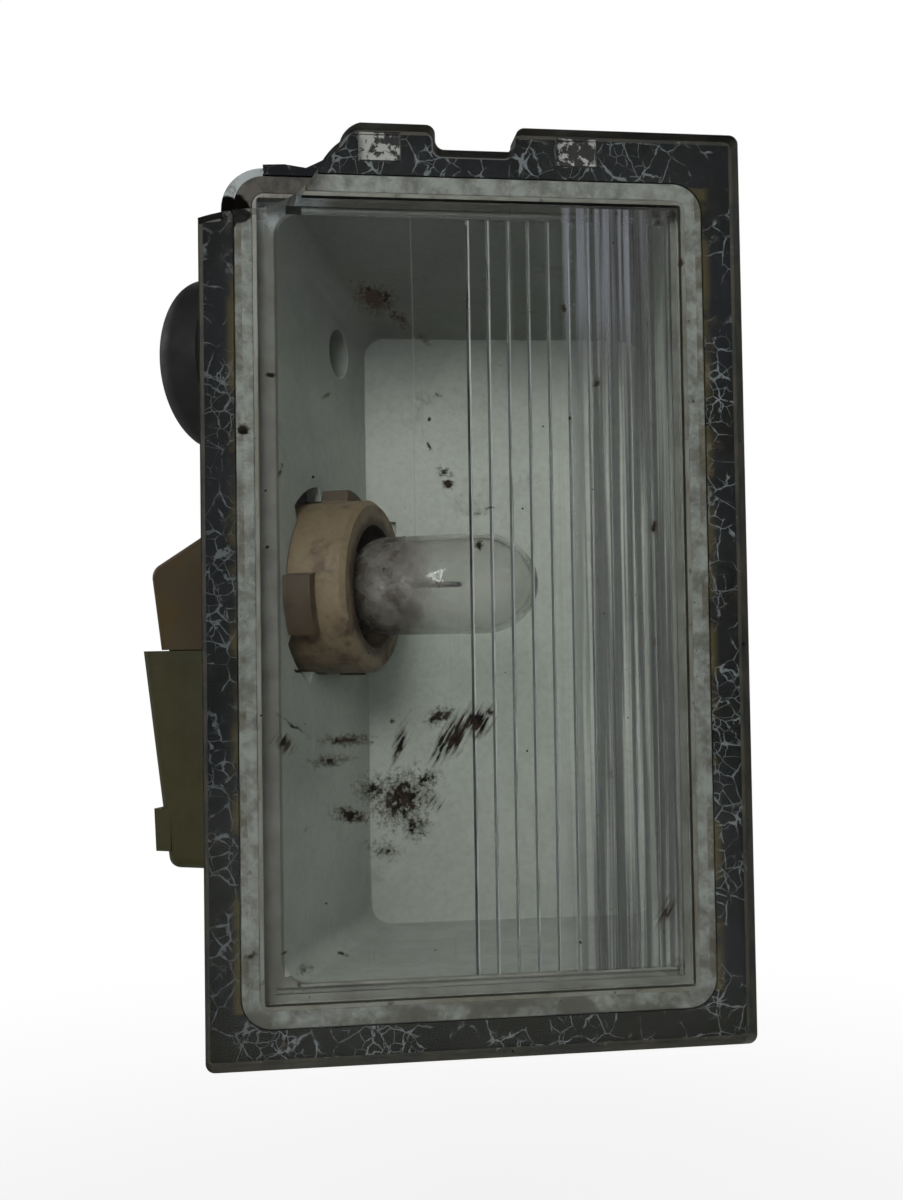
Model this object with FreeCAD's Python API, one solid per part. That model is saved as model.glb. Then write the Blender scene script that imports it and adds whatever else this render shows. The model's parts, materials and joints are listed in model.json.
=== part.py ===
"""Rectangular clear-lens tail and number-plate lamp with a wedge-base bulb.

Millimetres. X is the lamp's width, Z its length (up), and the lens looks along -Y.
The origin is the middle of the plane where the seal meets the vehicle's panel.
The bulb holder and the vent sit on a slanted side wall. Their pieces are modelled about
their own axis, with local z pointing out of the lamp, and turned into place at the end.
"""

import FreeCAD
import Part
import math
import os

V = FreeCAD.Vector
DOME_FLAT = 0.04

# ---- lens ----
LENS_W = 53.0
LENS_H = 89.5
LENS_T = 3.0
LENS_CORNER_R = 0.9
NOTCH_W = 7.9
NOTCH_D = 2.4
NOTCH_R = 0.9
NOTCH_X = 0.1
SKIRT_T = 1.1
SKIRT_DEPTH = 2.6
SKIRT_GAP = 0.4
FLUTE_COUNT = 10
FLUTE_PITCH = 2.0
FLUTE_SIDE_GAP = 0.75
FLUTE_FIRST_D = 0.3
FLUTE_GROWTH_D = 0.05
GROOVE_W = 0.4
GROOVE_D = 0.42
FLUTE_END_GAP = 1.0
FOOT_W = 4.0
FOOT_H = 2.9
FOOT_XS = (-9.05, 10.55)
MARK_INSET = 1.95
MARK_R = 1.45
MARK_D = 0.3
MARK_Z = 0.5

# ---- broken corner: how far the breaks run from the lens's corner ----
BREAK_DROP = 10.2
BREAK_RUN = 16.2
TEAR_DROP = 9.8
TEAR_RUN = 15.6
TEAR_FLANGE_RUN = 4.1

# ---- seal ----
SEAL_T = 1.5
SEAL_STEP = 0.8
SEAL_INSET = 0.1
SEAL_GAP = 0.1

# ---- housing ----
RIM_INSET_SIDE = 3.3
RIM_INSET_TOP = 4.4
RIM_INSET_BOTTOM = 3.15
RIM_T = 1.75
RIM_R = 2.9
BOND_T = 0.4
BOND_DEPTH = 1.3
FLANGE_OVER = 1.3
FLANGE_T = 1.6
WALL = 1.6
BACK_SPACE = 11.8
LEDGE_LEFT = 3.8
LEDGE_RIGHT = 3.2
LEDGE_TOP = 2.75
LEDGE_BOTTOM = 3.4
CHAMBER_R = 2.4
WALL_SLANT = 25.0
RIGHT_DRAFT = 4.0
TOP_SLOPE = 19.0
BOTTOM_DRAFT = 2.5
POCKET_SIZE = 2.4
POCKET_D = 0.7
POCKET_IN = 1.0
POCKET_UP = 5.6
RIB_T = 1.2
RIB_OVER = 0.6
SIDE_RIB_ZS = (-26.0, -2.0, 22.0)
SIDE_RIB_DEPTH = 8.0
END_RIB_XS = (-12.0, 12.0)
END_RIB_DEPTH = 6.0

# ---- bulb holder, on the slanted wall ----
HOLDER_Z = 0.7
BULB_TO_LENS = 1.3
BULB_PLAY = 1.3
COLLAR_WALL = 2.6
COLLAR_OUT = 6.0
CUP_D = 4.0
PORT_GAP = 0.1
LUG_REACH = 1.3
LUG_W = 6.0
LUG_T = 2.9
LUG_COUNT = 3
LUG_ANGLE = 12.0
LUG_PLAY = 0.1
NOTCH_PLAY = 0.3
TWIST = 40.0
FLANGE_COVER = 0.9
HOLDER_FLANGE_T = 2.0
HOLDER_SEAL_T = 1.15
HOLDER_SEAL_GAP = 0.05
SEAL_RIM = 0.1
BODY_W = 14.0
BODY_TOP = 6.6
BODY_BOTTOM = -6.3
BODY_OUT = 16.8
BODY_LEAN = 1.15
SHOULDER_FROM = 8.8
SHOULDER_DROP = 4.45
SHOULDER_R = 1.5
SPIGOT_SIDE = 1.6
SPIGOT_D = 4.6

# ---- connector shell ----
SHELL_OVER = 0.3
SHELL_IN = 5.4
SHELL_BACK_OVER = 1.15
SHELL_BACK_WALL = 2.6
SHELL_TAPER = 3.0
SHELL_END_R = 1.2
SHELL_L = 22.6
SHELL_WALL = 1.4
SHELL_R = 1.6
SHELL_GAP = 0.1
PARTITION_T = 2.2
TAB_W = 5.0
TAB_L = 4.4
TAB_T = 0.4
TAB_FROM_END = 1.8
SOCKET_SEAL_T = 1.3
SOCKET_SEAL_W = 1.2
LOCK_T = 1.4
LOCK_L = 2.6

# ---- contacts ----
CONTACT_W = 2.8
CONTACT_T = 0.4
CONTACT_X = 2.8
CONTACT_Y = 1.75
BLADE_T = 0.8
BLADE_L = 11.0
BLADE_AT = 10.2
CONTACT_GAP = 0.05

# ---- bulb ----
GLASS_R = 5.1
GLASS_T = 0.55
GLASS_TIP = 22.6
GLASS_L = 26.8
GLASS_DOME = 5.4
PINCH_W = 9.5
PINCH_T = 2.1
PINCH_TOP = 3.6
SLOT_GAP = 0.25
WIRE_R = 0.2
WIRE_X = 2.8
WIRE_PLAY = 0.02
WIRE_FOLD = 4.2
FILAMENT_AT = 14.0
FILAMENT_R = 0.22
FILAMENT_BOW = 1.3
FILAMENT_GAP = 0.15
BEAD_AT = 7.2
BEAD_R = 1.7
BEAD_END = 0.9

# ---- vent ----
VENT_TO_BACK = 6.9
VENT_DROP = 10.9
VENT_BORE_R = 2.65
VENT_TUBE_WALL = 1.45
VENT_TUBE_L = 12.0
VENT_CAP_R = 9.6
VENT_NECK_T = 1.9
VENT_NECK_START = 3.4
VENT_HEAD_OVER = 1.8
VENT_HEAD_SIDE = 3.4
VENT_DOME = 4.6
VENT_CAP_GAP = 0.12
FILTER_L = 4.0
FILTER_GAP = 0.05

# ---- spring clip ----
CLIP_W = 6.6
CLIP_T = 0.5
CLIP_PIN_R = 1.1
CLIP_PLAY = 0.08
CLIP_DEPTH = 15.5
CLIP_LIFT = 3.4
CLIP_RISE = 4.6
CLIP_REACH = 9.0
CLIP_HOOK = 3.6
EAR_T = 1.5
EAR_GAP = 0.35
EAR_R = 2.2

# ---- fixed hook ----
HOOK_W = 9.0
HOOK_T = 2.0
HOOK_OUT = 4.2
PANEL_T = 2.1

# ---- places and fits worked out from the sizes above ----
Y_SEAL_FRONT = -(SEAL_STEP + SEAL_T)
Y_LENS_FRONT = Y_SEAL_FRONT - LENS_T
Y_FLANGE = -SEAL_STEP
Y_CHAMBER = Y_SEAL_FRONT + SKIRT_DEPTH + SKIRT_GAP
SLANT = math.radians(WALL_SLANT)

RIM_X = LENS_W / 2 - RIM_INSET_SIDE
RIM_TOP = LENS_H / 2 - RIM_INSET_TOP
RIM_BOTTOM = RIM_INSET_BOTTOM - LENS_H / 2
SKIRT_X = RIM_X - RIM_T - BOND_T
SKIRT_TOP = RIM_TOP - RIM_T - BOND_T
SKIRT_BOTTOM = RIM_BOTTOM + RIM_T + BOND_T
CHAMBER_LEFT = LEDGE_LEFT - RIM_X
CHAMBER_RIGHT = RIM_X - LEDGE_RIGHT
CHAMBER_TOP = RIM_TOP - LEDGE_TOP
CHAMBER_BOTTOM = RIM_BOTTOM + LEDGE_BOTTOM

# The bulb's barrel end clears the lens, and the chamber is as deep as the holder needs.
BULB_REACH = (GLASS_TIP - GLASS_DOME) * math.sin(SLANT) + GLASS_R * math.cos(SLANT)
HOLDER_DEPTH = Y_SEAL_FRONT + BULB_TO_LENS + BULB_REACH - Y_CHAMBER
CHAMBER_DEPTH = HOLDER_DEPTH + BACK_SPACE
COLLAR_BORE_R = GLASS_R + BULB_PLAY
COLLAR_R = COLLAR_BORE_R + COLLAR_WALL
LUG_R = COLLAR_R + LUG_REACH
HOLDER_FLANGE_R = LUG_R + FLANGE_COVER

SHELL_W = BODY_W + 2 * SHELL_OVER
SHELL_OUT = BODY_OUT + SHELL_BACK_OVER
SPIGOT_W = BODY_W - 2 * SPIGOT_SIDE
SPIGOT_IN = SHELL_IN + SPIGOT_SIDE
SPIGOT_OUT = SHELL_OUT - SHELL_BACK_WALL

VENT_DEPTH = CHAMBER_DEPTH - VENT_TO_BACK
VENT_Z = CHAMBER_TOP - VENT_DROP
VENT_TUBE_R = VENT_BORE_R + VENT_TUBE_WALL
VENT_NECK_R = VENT_TUBE_R + VENT_NECK_T
VENT_NECK_FROM = WALL + VENT_NECK_START
VENT_HEAD_FROM = WALL + VENT_TUBE_L - VENT_HEAD_OVER


def rounded_wire(x0, x1, z0, z1, r, y):
    """A rectangle with rounded corners, in the plane at y."""
    k = r * (1 - math.sqrt(0.5))
    spots = [
        (V(x0 + r, y, z0), V(x1 - r, y, z0), V(x1 - k, y, z0 + k)),
        (V(x1, y, z0 + r), V(x1, y, z1 - r), V(x1 - k, y, z1 - k)),
        (V(x1 - r, y, z1), V(x0 + r, y, z1), V(x0 + k, y, z1 - k)),
        (V(x0, y, z1 - r), V(x0, y, z0 + r), V(x0 + k, y, z0 + k)),
    ]
    edges = []
    for i, (start, end, middle) in enumerate(spots):
        edges.append(Part.makeLine(start, end))
        edges.append(Part.Arc(end, middle, spots[(i + 1) % 4][0]).toShape())
    return Part.Wire(edges)


def slab(x0, x1, z0, z1, r, y0, y1):
    """A plate with rounded corners between the planes y0 and y1."""
    face = Part.Face(rounded_wire(x0, x1, z0, z1, r, y0))
    return face.extrude(V(0, y1 - y0, 0))


def block(x0, x1, y0, y1, z0, z1):
    return Part.makeBox(x1 - x0, y1 - y0, z1 - z0, V(x0, y0, z0))


def prism(points, direction):
    """A solid from a closed polygon, extruded along direction."""
    return Part.Face(Part.makePolygon(points + [points[0]])).extrude(direction)


def on_wall(shape, depth, z):
    """Turns a piece from its own axis to the slanted wall, depth mm behind the chamber's mouth."""
    sin, cos = math.sin(SLANT), math.cos(SLANT)
    x = CHAMBER_LEFT + math.tan(SLANT) * depth
    matrix = FreeCAD.Matrix(
        -sin, 0, -cos, x,
        -cos, 0, sin, Y_CHAMBER + depth,
        0, 1, 0, z,
        0, 0, 0, 1,
    )
    placed = shape.copy()
    placed.Placement = FreeCAD.Placement(matrix)
    return placed


def tube(r_out, r_in, z0, z1):
    """A ring about the local z axis."""
    outer = Part.makeCylinder(r_out, z1 - z0, V(0, 0, z0))
    return outer.cut(Part.makeCylinder(r_in, z1 - z0, V(0, 0, z0)))


def rounded(shape, radius, keep):
    """Fillets the edges that keep chooses."""
    return shape.makeFillet(radius, [e for e in shape.Edges if keep(e)])


def dome_edges(r, z, height):
    """A quarter ellipse in the x-z plane from (r, z), closed by a tiny flat at its tip on the axis."""
    tip = V(0, 0, z + height)
    if abs(height) < r:
        curve = Part.Ellipse(V(r, 0, z), tip, V(0, 0, z))
        arc = Part.Arc(curve, 0, math.pi / 2 - DOME_FLAT)
    else:
        curve = Part.Ellipse(tip, V(-r, 0, z), V(0, 0, z))
        arc = Part.Arc(curve, -math.pi / 2, -DOME_FLAT)
    ends = (arc.StartPoint, arc.EndPoint)
    near = min(ends, key=lambda p: abs(p.x))
    return [arc.toShape(), Part.makeLine(near, V(0, 0, near.z))]


def runs_along(edge, axis):
    """True for a straight edge along the axis given as a letter."""
    if not isinstance(edge.Curve, Part.Line):
        return False
    d = edge.Curve.Direction
    return abs(getattr(d, axis)) > 0.999


# ---- lens and seal ----
def border(inset, y0, y1):
    """The lens's outline with its notch, drawn in by inset."""
    x, z = LENS_W / 2 - inset, LENS_H / 2 - inset
    plate = slab(-x, x, -z, z, LENS_CORNER_R, y0, y1)
    half = NOTCH_W / 2 + inset
    floor = LENS_H / 2 - NOTCH_D - inset
    notch = block(NOTCH_X - half, NOTCH_X + half, y0 - 1, y1 + 1, floor, z + 5)
    plate = plate.cut(notch)
    return rounded(plate, NOTCH_R, lambda e: runs_along(e, "y") and notch_corner(e, half, floor, z))


def notch_corner(edge, half, floor, top):
    """True for the four upright corners of the notch."""
    p = edge.Vertexes[0].Point
    on_side = abs(abs(p.x - NOTCH_X) - half) < 0.01
    return on_side and (abs(p.z - floor) < 0.01 or abs(p.z - top) < 0.01)


def break_tool(y0, y1):
    """The corner that is broken off the lens: scalloped, as brittle plastic breaks."""
    left, top = -LENS_W / 2, LENS_H / 2
    drop, run = BREAK_DROP, BREAK_RUN
    a = V(left - 2, y0, top - drop - 0.3)
    b = V(left + run * 0.35, y0, top - drop * 0.84)
    c = V(left + run * 0.70, y0, top - drop * 0.46)
    d = V(left + run * 0.83, y0, top - drop * 0.19)
    e = V(left + run, y0, top + 0.1)
    f = V(left + run, y0, top + 3)
    g = V(left - 2, y0, top + 3)
    bows = [(a, V(-0.3, 0, 0.35), b), (b, V(0.5, 0, -0.55), c), (c, V(-0.1, 0, 0.25), d), (d, V(-0.3, 0, 0.5), e)]
    edges = []
    for start, bow, end in bows:
        edges.append(Part.Arc(start, (start + end) * 0.5 + bow, end).toShape())
    edges += [Part.makeLine(e, f), Part.makeLine(f, g), Part.makeLine(g, a)]
    return Part.Face(Part.Wire(edges)).extrude(V(0, y1 - y0, 0))


def tear_tool(y0, y1):
    """The corner that is torn off the seal: it follows the flange's edge, then the lens's break."""
    left, top = -LENS_W / 2, LENS_H / 2
    flange_left, _, _, flange_top = flange_box(0)
    outline = [
        V(left - 2, y0, top - TEAR_DROP),
        V(flange_left, y0, top - TEAR_DROP + 0.5),
        V(flange_left + FLANGE_OVER + 0.4, y0, top - TEAR_DROP + 1.6),
        V(flange_left + TEAR_FLANGE_RUN - 0.3, y0, flange_top - 1.9),
        V(flange_left + TEAR_FLANGE_RUN + 0.2, y0, flange_top - 0.7),
        V(flange_left + TEAR_FLANGE_RUN, y0, flange_top - 0.2),
        V(flange_left + TEAR_FLANGE_RUN + 2.1, y0, flange_top - 0.1),
        V(left + TEAR_RUN * 0.66, y0, flange_top - 0.4),
        V(left + TEAR_RUN * 0.75, y0, flange_top + 0.3),
        V(left + TEAR_RUN * 0.88, y0, flange_top + 1.4),
        V(left + TEAR_RUN, y0, top + 1),
        V(left - 2, y0, top + 1),
    ]
    return prism(outline, V(0, y1 - y0, 0))


def flute_cuts():
    """The prisms in the lens's rear face, steeper towards the right, each with a narrow groove before it."""
    z0 = SKIRT_BOTTOM + SKIRT_T + FLUTE_END_GAP
    z1 = SKIRT_TOP - SKIRT_T - FLUTE_END_GAP
    start = SKIRT_X - SKIRT_T - FLUTE_SIDE_GAP - FLUTE_COUNT * FLUTE_PITCH
    cuts = []
    for i in range(FLUTE_COUNT):
        x0 = start + i * FLUTE_PITCH
        x1 = x0 + FLUTE_PITCH
        depth = FLUTE_FIRST_D + i * FLUTE_GROWTH_D
        tooth = [
            V(x0, Y_SEAL_FRONT + 0.2, z0),
            V(x0, Y_SEAL_FRONT, z0),
            V(x0 + GROOVE_W / 2, Y_SEAL_FRONT - GROOVE_D, z0),
            V(x0 + GROOVE_W, Y_SEAL_FRONT, z0),
            V(x1, Y_SEAL_FRONT - depth, z0),
            V(x1, Y_SEAL_FRONT + 0.2, z0),
        ]
        cuts.append(prism(tooth, V(0, 0, z1 - z0)))
    return cuts


def foot_block(x, grow, y0, y1):
    """A locating foot on the lens's rear face, or with grow its window in the seal."""
    top = LENS_H / 2 - SEAL_INSET + (3 if grow else 0)
    low = LENS_H / 2 - FOOT_H - grow
    half = FOOT_W / 2 + grow
    return block(x - half, x + half, y0, y1, low, top)


def make_lens():
    lens = border(0, Y_LENS_FRONT, Y_SEAL_FRONT)
    for cut in flute_cuts():
        lens = lens.cut(cut)
    skirt = slab(-SKIRT_X, SKIRT_X, SKIRT_BOTTOM, SKIRT_TOP, 0.3, Y_SEAL_FRONT, Y_SEAL_FRONT + SKIRT_DEPTH)
    hollow = block(
        -SKIRT_X + SKIRT_T, SKIRT_X - SKIRT_T,
        Y_SEAL_FRONT, Y_SEAL_FRONT + SKIRT_DEPTH,
        SKIRT_BOTTOM + SKIRT_T, SKIRT_TOP - SKIRT_T,
    )
    lens = lens.fuse(skirt.cut(hollow))
    for x in FOOT_XS:
        lens = lens.fuse(foot_block(x, 0, Y_SEAL_FRONT, Y_SEAL_FRONT + SEAL_T))
    mark_x = LENS_W / 2 - MARK_INSET
    for side in (-1, 1):
        mark = Part.makeCylinder(MARK_R, MARK_D, V(side * mark_x, Y_SEAL_FRONT - MARK_D, MARK_Z), V(0, 1, 0))
        lens = lens.cut(mark)
    broken = break_tool(Y_LENS_FRONT - 1, Y_SEAL_FRONT + SKIRT_DEPTH + 1)
    return lens.cut(broken).removeSplitter()


def flange_box(grow):
    """The housing flange's outline, grown by grow: left, right, bottom, top."""
    x = RIM_X + FLANGE_OVER + grow
    return -x, x, RIM_BOTTOM - FLANGE_OVER - grow, RIM_TOP + FLANGE_OVER + grow


def make_seal():
    front = border(SEAL_INSET, Y_SEAL_FRONT, Y_FLANGE)
    x = RIM_X + SEAL_GAP
    rim_hole = slab(-x, x, RIM_BOTTOM - SEAL_GAP, RIM_TOP + SEAL_GAP, RIM_R + SEAL_GAP, Y_SEAL_FRONT, Y_FLANGE)
    front = front.cut(rim_hole)
    back = border(SEAL_INSET, Y_FLANGE, 0)
    back = back.cut(slab(*flange_box(SEAL_GAP), RIM_R + FLANGE_OVER, Y_FLANGE, 0))
    seal = front.fuse(back)
    for x in FOOT_XS:
        seal = seal.cut(foot_block(x, SEAL_GAP, Y_SEAL_FRONT - 1, 1))
    return seal.cut(tear_tool(Y_SEAL_FRONT - 1, 1)).removeSplitter()


def make_bond():
    """The glue line between the lens's skirt and the housing's rim."""
    x = SKIRT_X + BOND_T
    y1 = Y_SEAL_FRONT + BOND_DEPTH
    outer = slab(-x, x, SKIRT_BOTTOM - BOND_T, SKIRT_TOP + BOND_T, RIM_R - RIM_T, Y_SEAL_FRONT, y1)
    inner = slab(-SKIRT_X, SKIRT_X, SKIRT_BOTTOM, SKIRT_TOP, 0.3, Y_SEAL_FRONT, y1)
    return outer.cut(inner)


# ---- housing ----
def chamber(grow, depth):
    """The tapered chamber, with every wall moved out by grow, from its mouth to depth."""
    slopes = {
        "left": math.tan(SLANT),
        "right": -math.tan(math.radians(RIGHT_DRAFT)),
        "top": -math.tan(math.radians(TOP_SLOPE)),
        "bottom": math.tan(math.radians(BOTTOM_DRAFT)),
    }

    def side(start, slope, d, sign):
        return start + slope * d + sign * grow * math.sqrt(1 + slope * slope)

    wires = []
    for d in (0, depth):
        wires.append(
            rounded_wire(
                side(CHAMBER_LEFT, slopes["left"], d, -1),
                side(CHAMBER_RIGHT, slopes["right"], d, 1),
                side(CHAMBER_BOTTOM, slopes["bottom"], d, -1),
                side(CHAMBER_TOP, slopes["top"], d, 1),
                CHAMBER_R + grow,
                Y_CHAMBER + d,
            )
        )
    return Part.makeLoft(wires, True, True)


def top_wall_z(depth):
    """The outside of the sloping top wall, depth mm behind the chamber's mouth."""
    slope = math.tan(math.radians(TOP_SLOPE))
    return CHAMBER_TOP - slope * depth + WALL * math.sqrt(1 + slope * slope)


def bottom_wall_z(depth):
    """The outside of the bottom wall, depth mm behind the chamber's mouth."""
    slope = math.tan(math.radians(BOTTOM_DRAFT))
    return CHAMBER_BOTTOM + slope * depth - WALL * math.sqrt(1 + slope * slope)


def clip_axis():
    """The y and z of the clip's pin."""
    return Y_CHAMBER + CLIP_DEPTH, top_wall_z(CLIP_DEPTH) + CLIP_LIFT


def clip_ears():
    """Two ears that stand on the top wall and carry the clip's pin."""
    y, z = clip_axis()
    foot = top_wall_z(CLIP_DEPTH) - z - 0.8
    ears = []
    for side in (-1, 1):
        inner = NOTCH_X + side * (CLIP_W / 2 + EAR_GAP)
        x0 = min(inner, inner + side * EAR_T)
        head = Part.makeCylinder(EAR_R, EAR_T, V(x0, y, z), V(1, 0, 0))
        leg = [
            V(x0, y - EAR_R, z),
            V(x0, y - EAR_R - 1.2, z + foot + 1.5),
            V(x0, y + EAR_R + 1.2, z + foot),
            V(x0, y + EAR_R, z),
        ]
        ear = head.fuse(prism(leg, V(EAR_T, 0, 0)))
        ears.append(ear.cut(Part.makeCylinder(CLIP_PIN_R, EAR_T, V(x0, y, z), V(1, 0, 0))))
    return ears


def fixed_hook():
    """The lug at the lower end that slips behind the panel's edge."""
    y0 = PANEL_T
    z = bottom_wall_z(HOOK_T)
    arm = [
        V(-HOOK_W / 2, y0 + 0.3, z - HOOK_OUT),
        V(-HOOK_W / 2, y0, z - HOOK_OUT + 0.5),
        V(-HOOK_W / 2, y0, z + 0.8),
        V(-HOOK_W / 2, y0 + HOOK_T + 5, z + 0.8),
        V(-HOOK_W / 2, y0 + HOOK_T, z - HOOK_OUT),
    ]
    return prism(arm, V(HOOK_W, 0, 0))


def gussets():
    """Thin webs that stiffen the flange against the right-hand and lower walls."""
    y0 = Y_FLANGE + FLANGE_T - 0.2
    x1 = RIM_X + FLANGE_OVER - RIB_OVER
    z0 = RIM_BOTTOM - FLANGE_OVER + RIB_OVER
    webs = []
    for z in SIDE_RIB_ZS:
        web = [V(CHAMBER_RIGHT, y0, z), V(x1, y0, z), V(CHAMBER_RIGHT, y0 + SIDE_RIB_DEPTH, z)]
        webs.append(prism(web, V(0, 0, RIB_T)))
    for x in END_RIB_XS:
        web = [V(x, y0, CHAMBER_BOTTOM), V(x, y0, z0), V(x, y0 + END_RIB_DEPTH, CHAMBER_BOTTOM)]
        webs.append(prism(web, V(RIB_T, 0, 0)))
    return webs


def port_cut():
    """The holder's port: a round hole with a notch for each lug, TWIST degrees away."""
    r = COLLAR_R + PORT_GAP
    cut = Part.makeCylinder(r, WALL + 2, V(0, 0, -1))
    for i in range(LUG_COUNT):
        notch = lug(i, NOTCH_PLAY, -1, WALL + 1)
        notch.rotate(V(0, 0, 0), V(0, 0, 1), -TWIST)
        cut = cut.fuse(notch)
    return on_wall(cut, HOLDER_DEPTH, HOLDER_Z)


def lug(i, play, z0, z1):
    """One bayonet lug about the holder's axis, grown by play."""
    half = LUG_W / 2 + play
    bar = block(COLLAR_R - 1.5, LUG_R + play, -half, half, z0, z1)
    limit = Part.makeCylinder(LUG_R + play, z1 - z0, V(0, 0, z0))
    bar = bar.common(limit)
    bar.rotate(V(0, 0, 0), V(0, 0, 1), -LUG_ANGLE + i * 360.0 / LUG_COUNT)
    return bar


def make_housing():
    x = RIM_X
    rim = slab(-x, x, RIM_BOTTOM, RIM_TOP, RIM_R, Y_SEAL_FRONT, Y_CHAMBER)
    flange = slab(*flange_box(0), RIM_R + FLANGE_OVER, Y_FLANGE, Y_FLANGE + FLANGE_T)
    shell = rim.fuse(flange).fuse(chamber(WALL, CHAMBER_DEPTH + WALL))
    for piece in clip_ears() + gussets() + [fixed_hook()]:
        shell = shell.fuse(piece)
    shell = shell.fuse(on_wall(Part.makeCylinder(VENT_TUBE_R, VENT_TUBE_L + 0.8, V(0, 0, 0.8)), VENT_DEPTH, VENT_Z))
    shell = shell.cut(chamber(0, CHAMBER_DEPTH))
    mouth = slab(-x + RIM_T, x - RIM_T, RIM_BOTTOM + RIM_T, RIM_TOP - RIM_T, RIM_R - RIM_T, Y_SEAL_FRONT, Y_CHAMBER)
    shell = shell.cut(mouth)
    shell = shell.cut(port_cut())
    bore = Part.makeCylinder(VENT_BORE_R, VENT_TUBE_L + 4, V(0, 0, -1))
    shell = shell.cut(on_wall(bore, VENT_DEPTH, VENT_Z))
    pocket_x = CHAMBER_LEFT + math.tan(SLANT) * CHAMBER_DEPTH + POCKET_IN
    pocket_z = HOLDER_Z + POCKET_UP
    pocket = block(
        pocket_x, pocket_x + POCKET_SIZE,
        Y_CHAMBER + CHAMBER_DEPTH, Y_CHAMBER + CHAMBER_DEPTH + POCKET_D,
        pocket_z, pocket_z + POCKET_SIZE,
    )
    return shell.cut(pocket).removeSplitter()


# ---- spring clip ----
def make_clip_pin():
    y, z = clip_axis()
    length = CLIP_W + 2 * (EAR_GAP + EAR_T) + 0.8
    return Part.makeCylinder(CLIP_PIN_R, length, V(NOTCH_X - length / 2, y, z), V(1, 0, 0))


def make_clip():
    """A spring-steel leaf: a rolled eye on the pin, a crest that grips the panel, a hooked end."""
    y, z = clip_axis()
    x0 = NOTCH_X - CLIP_W / 2
    r = CLIP_PIN_R + CLIP_PLAY
    eye = Part.makeCylinder(r + CLIP_T, CLIP_W, V(x0, y, z), V(1, 0, 0))
    top = r + CLIP_T
    leaf = [
        V(x0, y, z + top),
        V(x0, y - CLIP_REACH, z + top + CLIP_RISE),
        V(x0, y - CLIP_REACH - CLIP_HOOK, z + top + CLIP_RISE - 2.2),
        V(x0, y - CLIP_REACH - CLIP_HOOK + 0.25, z + top + CLIP_RISE - 2.2 - CLIP_T),
        V(x0, y - CLIP_REACH + 0.1, z + top + CLIP_RISE - CLIP_T * 1.15),
        V(x0, y + 0.1, z + top - CLIP_T),
    ]
    clip = eye.fuse(prism(leaf, V(CLIP_W, 0, 0)))
    clip = clip.cut(Part.makeCylinder(r, CLIP_W, V(x0, y, z), V(1, 0, 0)))
    return clip.removeSplitter()


# ---- vent ----
def make_vent_cap():
    """A rubber mushroom cap pushed on the vent's tube."""
    bore = VENT_TUBE_R + VENT_CAP_GAP
    seat = WALL + VENT_TUBE_L
    side_top = VENT_HEAD_FROM + VENT_HEAD_SIDE
    dome = dome_edges(VENT_CAP_R, side_top, VENT_DOME)
    edges = [
        Part.makeLine(V(bore, 0, VENT_NECK_FROM), V(VENT_NECK_R, 0, VENT_NECK_FROM)),
        Part.makeLine(V(VENT_NECK_R, 0, VENT_NECK_FROM), V(VENT_NECK_R, 0, VENT_HEAD_FROM)),
        Part.makeLine(V(VENT_NECK_R, 0, VENT_HEAD_FROM), V(VENT_CAP_R - 0.8, 0, VENT_HEAD_FROM)),
        Part.makeLine(V(VENT_CAP_R - 0.8, 0, VENT_HEAD_FROM), V(VENT_CAP_R, 0, VENT_HEAD_FROM + 0.8)),
        Part.makeLine(V(VENT_CAP_R, 0, VENT_HEAD_FROM + 0.8), V(VENT_CAP_R, 0, side_top)),
        *dome,
        Part.makeLine(dome[1].Vertexes[1].Point, V(0, 0, seat + 0.8)),
        Part.makeLine(V(0, 0, seat + 0.8), V(bore, 0, seat + 0.8)),
        Part.makeLine(V(bore, 0, seat + 0.8), V(bore, 0, VENT_NECK_FROM)),
    ]
    cap = Part.Face(Part.Wire(edges)).revolve(V(0, 0, 0), V(0, 0, 1), 360)
    return on_wall(cap, VENT_DEPTH, VENT_Z)


def make_vent_filter():
    top = WALL + VENT_TUBE_L - 0.5
    plug = Part.makeCylinder(VENT_BORE_R - FILTER_GAP, FILTER_L, V(0, 0, top - FILTER_L))
    return on_wall(plug, VENT_DEPTH, VENT_Z)


# ---- bulb holder ----
def holder_flange_z():
    """The near face of the holder's flange, past the wall and the seal."""
    return WALL + HOLDER_SEAL_GAP + HOLDER_SEAL_T


def contact_boxes(side, gap):
    """A contact strip and its blade, or with gap the pocket that holds them."""
    x0 = side * CONTACT_X - CONTACT_W / 2 - gap
    x1 = side * CONTACT_X + CONTACT_W / 2 + gap
    y_low, y_high = CONTACT_Y, CONTACT_Y + CONTACT_T
    if side < 0:
        y_low, y_high = -y_high, -y_low
    front = -COLLAR_OUT + CUP_D + 0.3
    blade_end = BODY_BOTTOM - SPIGOT_D - PARTITION_T - BLADE_L
    leg = block(x0, x1, y_low - gap, y_high + gap, front - gap, BLADE_AT)
    blade = block(x0, x1, blade_end, y_high + gap, BLADE_AT - BLADE_T / 2 - gap, BLADE_AT + BLADE_T / 2 + gap)
    return leg.fuse(blade)


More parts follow.
